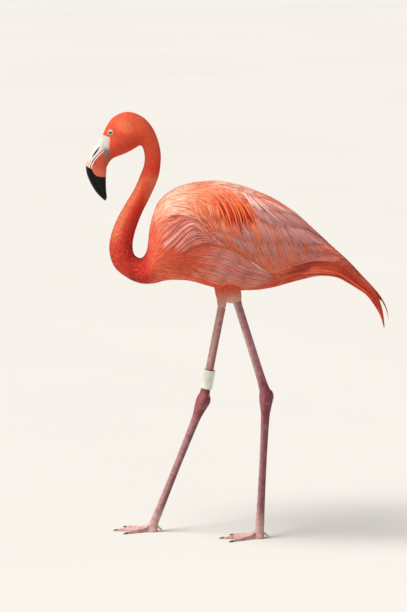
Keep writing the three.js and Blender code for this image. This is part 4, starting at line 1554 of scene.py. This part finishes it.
PEACH, PALE_PINK, ROSE = colour("FFAB8E"), colour("FACABE"), colour("EC856C")
ORANGE, ORANGE_TIP = colour("FF6A20"), colour("FF9050")
DEEP_RED, WINE, RUST = colour("C0331A"), colour("9A2A20"), colour("8E1E0C")
MAUVE, GREY_MAUVE, MAUVE_EDGE = colour("D68C84"), colour("C08084"), colour("F2B6AC")
DUSK, SOFT_ORANGE, PLUM = colour("E28270"), colour("F26E42"), colour("B24C44")
SALMON, CORAL_RED, SCARLET = colour("F07A54"), colour("E5522C"), colour("C83420")


def wing_fans():
    """The folded wing: its hanging lower feathers, the pale ones above them, and those along the back."""
    hanging = [
        [(-66, 672), (-48, 645), (-26, 612)],
        [(-45, 676), (-20, 640), (10, 592)],
        [(-20, 672), (5, 630), (40, 572)],
        [(10, 670), (35, 625), (66, 556)],
        [(40, 668), (62, 620), (86, 553)],
        [(70, 665), (90, 620), (108, 562)],
        [(98, 655), (125, 615), (150, 574)],
        [(120, 645), (152, 612), (184, 584)],
        [(135, 640), (170, 610), (214, 580)],
    ]
    low = [
        ROSE, SOFT_ORANGE, DUSK, MAUVE, SOFT_ORANGE, MAUVE, DUSK, MAUVE, SOFT_ORANGE, MAUVE,
        DUSK, MAUVE, SOFT_ORANGE, MAUVE, DUSK, GREY_MAUVE, MAUVE, DUSK, SOFT_ORANGE, MAUVE,
    ]
    high = [
        SALMON, ROSE, SOFT_ORANGE, DUSK, MAUVE, SALMON, MAUVE,
        DUSK, MAUVE, GREY_MAUVE, MAUVE, GREY_MAUVE, MAUVE,
    ]
    layers = [
        (90, 0.3, 1.0, 5.5, 0.3, 0.7, low, (MAUVE, 0.15), (SOFT_ORANGE, 0.5)),
        (100, 0.14, 0.84, 5, 0.4, 0.8, low[::-1], (MAUVE_EDGE, 0.15), (ROSE, 0.3)),
        (90, 0.0, 0.6, 5, 0.5, 0.88, high, (MAUVE_EDGE, 0.15), (DUSK, 0.3)),
    ]
    fan("wing_coverts", hanging, layers, seed=101, nodes="wing", point=0.85, crown=0.12, droop=0.06)
    upper = [
        [(8, 718), (25, 695), (42, 664)],
        [(18, 714), (48, 682), (83, 637)],
        [(34, 708), (75, 680), (125, 640)],
        [(50, 703), (100, 674), (152, 630)],
        [(62, 700), (120, 664), (172, 616)],
    ]
    dusky = [MAUVE, GREY_MAUVE, MAUVE, GREY_MAUVE, ROSE]
    pale = [
        PALE_PINK, PALE_PINK, PALE_PINK, MAUVE, PALE_PINK, MAUVE,
        ROSE, MAUVE, PALE_PINK, DUSK, MAUVE, ROSE,
    ]
    loose = [MAUVE, PALE_PINK, MAUVE, PALE_PINK, GREY_MAUVE]
    layers = [
        (44, 0.2, 1.0, 5.5, 0.5, 0.88, dusky, (MAUVE_EDGE, 0.2), (MAUVE, 0.4)),
        (40, 0.0, 0.6, 4.5, 0.6, 0.98, pale, (MAUVE_EDGE, 0.3), (PALE_PINK, 0.3)),
        (9, 0.2, 0.95, 3.2, 0.7, 1.05, loose, (PALE_PINK, 0.2), (PEACH, 0.3)),
    ]
    fan("wing_upper", upper, layers, seed=102, crown=0.14, droop=0.06)
    back = [
        [(10, 726), (75, 698), (140, 646), (192, 598)],
        [(0, 728), (70, 703), (135, 656), (206, 590)],
    ]
    dark = [GREY_MAUVE, PLUM, GREY_MAUVE, WINE]
    pale = [PALE_PINK, PEACH, ROSE, PALE_PINK, MAUVE]
    layers = [
        (12, 0.15, 1.0, 4.4, 0.4, 0.76, dark, (MAUVE, 0.3), (WINE, 0.4)),
        (12, 0.0, 0.7, 4, 0.5, 0.8, pale, (PALE_PINK, 0.4), (PALE_PINK, 0.2)),
    ]
    fan("wing_back", back, layers, seed=103, crown=0.1, across=5)


def scapular_fans():
    """Long pointed feathers that hang over the shoulder: peach in front, and behind them six bright orange
    ones and five thinner ones, over deep red ones and under the short salmon ones that hide their roots."""
    soft = [
        [(-96, 712), (-84, 690), (-70, 664)],
        [(-80, 718), (-70, 688), (-58, 656)],
        [(-64, 724), (-50, 690), (-40, 652)],
        [(-50, 726), (-38, 690), (-26, 640)],
    ]
    under = [SALMON, ROSE, SALMON, CORAL_RED, SALMON]
    over = [
        PEACH, SALMON, PEACH, SOFT_ORANGE, SALMON, CORAL_RED,
        PEACH, SALMON, SOFT_ORANGE, CORAL_RED, SALMON,
    ]
    layers = [
        (36, 0.0, 1.0, 5.5, 0.3, 0.82, under, (PEACH, 0.3), (SALMON, 0.3)),
        (30, 0.0, 0.86, 4, 0.3, 0.9, over, (PEACH, 0.15), (SALMON, 0.4)),
    ]
    fan("shoulder", soft, layers, seed=104, crown=0.14, ragged=0.12)
    bright = [
        [(-66, 722), (-38, 686), (-22, 642)],
        [(-50, 726), (-22, 686), (-6, 634)],
        [(-36, 728), (-5, 686), (10, 628)],
        [(-22, 724), (9, 684), (24, 638)],
        [(-6, 716), (21, 686), (40, 652)],
    ]
    dark = [DEEP_RED, RUST, DEEP_RED, RUST, WINE, RUST, DEEP_RED, RUST]
    layers = [
        (36, 0.12, 0.9, 5, 0.3, 0.8, dark, (RUST, 0.3), (DEEP_RED, 0.6)),
        (8, 0.4, 1.0, 3, 0.3, 0.84, [SOFT_ORANGE, SALMON, DUSK, SOFT_ORANGE], (SALMON, 0.3), (DUSK, 0.5)),
        (6, 0.02, 1.02, 6, 0.4, 1.35, [ORANGE], (ORANGE_TIP, 0.5), (SOFT_ORANGE, 0.5)),
        (5, 0.1, 0.84, 3.4, 0.4, 1.2, [ORANGE, SOFT_ORANGE, ORANGE], (ORANGE_TIP, 0.35), (ORANGE, 0.4)),
        (26, 0.0, 0.34, 3.4, 0.4, 1.1, [SALMON, SOFT_ORANGE], (PEACH, 0.2), (SOFT_ORANGE, 0.5)),
    ]
    fan("scapulars", bright, layers, seed=105, wander=0.2, rows=10, across=5, crown=0.3, ragged=0.1)


def whirl_fans():
    """Slender mauve-edged feathers that sweep up from the breast, over, and down along the wing's edge."""
    arcs = [
        [(-163, 634), (-140, 664), (-100, 674), (-70, 655)],
        [(-163, 600), (-133, 630), (-107, 655), (-84, 661), (-58, 640), (-34, 618)],
        [(-146, 594), (-123, 616), (-97, 643), (-80, 647), (-52, 630), (-20, 611)],
        [(-130, 590), (-110, 606), (-86, 630), (-66, 632), (-42, 622), (-14, 606)],
        [(-112, 588), (-92, 600), (-69, 617), (-47, 618), (-22, 610)],
    ]
    arcs = [spline(arc, np.linspace(0, len(arc) - 1, 6)) for arc in arcs]
    shades = [
        SALMON, ROSE, DUSK, PLUM, MAUVE, PLUM, DUSK, MAUVE_EDGE, ROSE, PLUM, MAUVE,
        DUSK, WINE, ROSE, MAUVE_EDGE, CORAL_RED, MAUVE, PLUM, CORAL_RED, ROSE, PLUM, WINE,
    ]
    layers = [
        (70, 0.0, 0.4, 3.4, 0.3, 0.8, shades, (ROSE, 0.2), (MAUVE, 0.3)),
        (75, 0.14, 0.6, 3.2, 0.4, 0.88, shades[::-1], (MAUVE, 0.2), (MAUVE_EDGE, 0.2)),
        (75, 0.34, 0.8, 3, 0.45, 0.94, shades[7:] + shades[:7], (MAUVE, 0.2), (MAUVE_EDGE, 0.2)),
        (65, 0.55, 1.0, 3, 0.5, 0.98, shades[3:] + shades[:3], (MAUVE, 0.2), (MAUVE_EDGE, 0.3)),
    ]
    fan("whirl", arcs, layers, seed=111, rows=9, crown=0.2, spread=0.14, wander=0.6)


def flank_fans():
    """Broad soft feathers that sweep back from the whirl over the wing's lower edge, and the red ones under
    the wing's tips, with wine among them as painted shade."""
    sweep = [
        [(-70, 610), (-22, 603), (19, 582), (64, 552)],
        [(-95, 590), (-31, 588), (19, 566), (74, 544)],
        [(-120, 574), (-47, 556), (3, 540), (72, 532)],
        [(-122, 552), (-60, 538), (0, 524), (52, 521)],
        [(-112, 536), (-60, 525), (-20, 514), (32, 512)],
    ]
    first = [MAUVE, DUSK, MAUVE, ROSE, DUSK, ROSE, DUSK, SALMON, CORAL_RED, SALMON]
    second = [MAUVE, DUSK, MAUVE, DUSK, MAUVE, ROSE, DUSK, SALMON, CORAL_RED]
    third = [MAUVE_EDGE, MAUVE, DUSK, MAUVE, DUSK, ROSE, DUSK, SALMON, CORAL_RED]
    layers = [
        (70, 0.0, 0.36, 5, 0.3, 0.66, first, (SALMON, 0.2), (DUSK, 0.2)),
        (75, 0.16, 0.56, 5, 0.38, 0.72, second, (MAUVE, 0.15), (DUSK, 0.2)),
        (75, 0.36, 0.8, 4.8, 0.42, 0.78, second, (MAUVE, 0.15), (DUSK, 0.2)),
        (60, 0.58, 1.0, 4.5, 0.46, 0.84, third, (MAUVE_EDGE, 0.2), (ROSE, 0.2)),
    ]
    fan("flank", sweep, layers, seed=121, point=0.85, crown=0.1, droop=0.05)
    under = [
        [(50, 556), (105, 562), (160, 574), (205, 570)],
        [(30, 532), (95, 545), (160, 560), (214, 554)],
        [(10, 518), (80, 528), (150, 546), (214, 540)],
    ]
    # the wine shades here are painted shade under the wing's tips; the deep reds and scarlet are the
    # plumage's own
    dark = [WINE, DEEP_RED, WINE, CORAL_RED, SCARLET]
    light = [WINE, DEEP_RED, CORAL_RED, SALMON, CORAL_RED]
    layers = [
        (36, 0.05, 0.6, 5, 0.3, 0.7, dark, (DEEP_RED, 0.3), (CORAL_RED, 0.4)),
        (36, 0.36, 1.0, 4.5, 0.4, 0.8, light, (CORAL_RED, 0.3), (SALMON, 0.3)),
    ]
    fan("vent", under, layers, seed=122, point=0.85, crown=0.12)


THIGH_COAT_DEPTH = 2.2 * MM


def thigh_coats():
    """Short pale feathers down each thigh to a ragged hem."""
    for name, leg in LEGS.items():
        surface = limb(thigh_rows(leg))
        span = (0.35, 2.9)
        index, turn = roots(surface, span, 4.4, 1.7, 131)
        tint = between(plumage(surface(index, turn)), THIGH_TAN, smooth((index - 0.6) / 1.2)[:, None])
        length = np.where(index > 2.4, 8, 13.0)
        coat(f"coat_thigh_{name}", surface, span, index, turn, length, 2.6, lie=lie_along, seed=132, rows=5,
             rise=(0.1, 0.9), tint=tint, depth=lambda i: np.full(len(i), THIGH_COAT_DEPTH), finish=VELVET,
             last=HEM_ROW, vary=0.3)


PLUMES, LONG_PLUMES = 190, 76
FIRST_ROOT, LAST_ROOT = 31.5, 36.5
# Plumes that start under this level draw to the lower tip's level, and the others to the upper tip's.
FORK_LEVEL, LOWER_TIP, UPPER_TIP = 0.84, 0.14, 0.93
PLUME_ACROSS = 5


def tail_plumes():
    """Long drooping scarlet plumes, in layers from under the tail to over it. At its section a plume lies at
    a level of the way from belly to back, and a share of the half width that the oval has there, and it
    comes out of the skin over the first two fifths of its length. The long ones draw together into two
    points, a strong lower one and a slender upper one."""
    rng = np.random.default_rng(141)
    count, rows = PLUMES, 18
    stations = np.linspace(0, 1, rows)
    level = np.sort(rng.uniform(0.05, 0.97, count))
    across = rng.uniform(-1, 1, count)
    start = rng.uniform(FIRST_ROOT, LAST_ROOT, count)
    end = np.clip(start + rng.uniform(4.2, 8.6, count), 38.5, 41.2)
    long_ones = rng.choice(count, LONG_PLUMES, replace=False)
    end[long_ones] = rng.uniform(41.6, 42.98, LONG_PLUMES)
    index = start[:, None] + (end - start)[:, None] * stations
    pull = smooth((index - 39.8) / 3) * (end > 41.5)[:, None]
    fork = np.where(level < FORK_LEVEL, LOWER_TIP, UPPER_TIP)[:, None]
    height = level[:, None] + (fork - level[:, None]) * pull * 0.75
    share = across[:, None] * (1 - 0.5 * pull)
    row = spline(SECTIONS, index)
    back, belly, wide = row[..., 0:2], row[..., 2:4], row[..., 4]
    room = np.sqrt(np.clip(1 - (2 * height - 1) ** 2, 0, 1))
    middle = belly + (back - belly) * height[..., None]
    out_of_skin = 0.76 + 0.22 * smooth(stations / 0.4)
    lines = np.stack([middle[..., 0], wide * room * share * out_of_skin, middle[..., 1]], -1)
    up = unit(back - belly) * (2 * height - 1)[..., None]
    out = np.sign(across)[:, None] * np.maximum(np.abs(across)[:, None], 0.25) * room
    normals = unit(np.stack([up[..., 0], out, up[..., 1]], -1))
    width = rng.uniform(2.4, 3.8, count) * MM
    twist = rng.normal(0, 0.06, count)
    shape = vanes(lines, normals, width, np.zeros((count, rows)), stations, point=0.5, across=PLUME_ACROSS,
                  crown=0.1, droop=0.06, twist=twist)
    own = between(SCARLET, CORAL_RED, rng.random((count, 1)) ** 2)
    dusky = 0.45 * (1 - smooth((start - FIRST_ROOT) / 3.5)) * (level > 0.35)
    own = between(own, WINE, dusky[:, None])
    colours = feather_tint(own, stations, PLUME_ACROSS, (CORAL_RED, 0.2), (CORAL_RED, 0.25), rng, 0.08)
    base = np.stack([0.1 + 0.8 * rng.random(count), 0.02 + 0.96 * level], -1)
    maps = feather_maps(count, stations, PLUME_ACROSS, base, rng)
    piece("tail_plumes", shape, COAT, ["tail"], colours, maps=maps, hard=(1,))


head_coat()
neck_coat()
body_coat()
mantle()
wing_fans()
scapular_fans()
whirl_fans()
flank_fans()
thigh_coats()
tail_plumes()

# ---------------------------------------------------------------------------------------------
# Floor
# ---------------------------------------------------------------------------------------------


def make_floor():
    """A plain level floor, far wider than the view."""
    half = 60
    corners = [(-half, -half, 0), (half, -half, 0), (half, half, 0), (-half, half, 0)]
    mesh = bpy.data.meshes.new("floor")
    mesh.from_pydata(corners, [], [(0, 1, 2, 3)])
    mesh.materials.append(FLOOR.material)
    floor = bpy.data.objects.new("floor", mesh)
    bpy.context.collection.objects.link(floor)


make_floor()
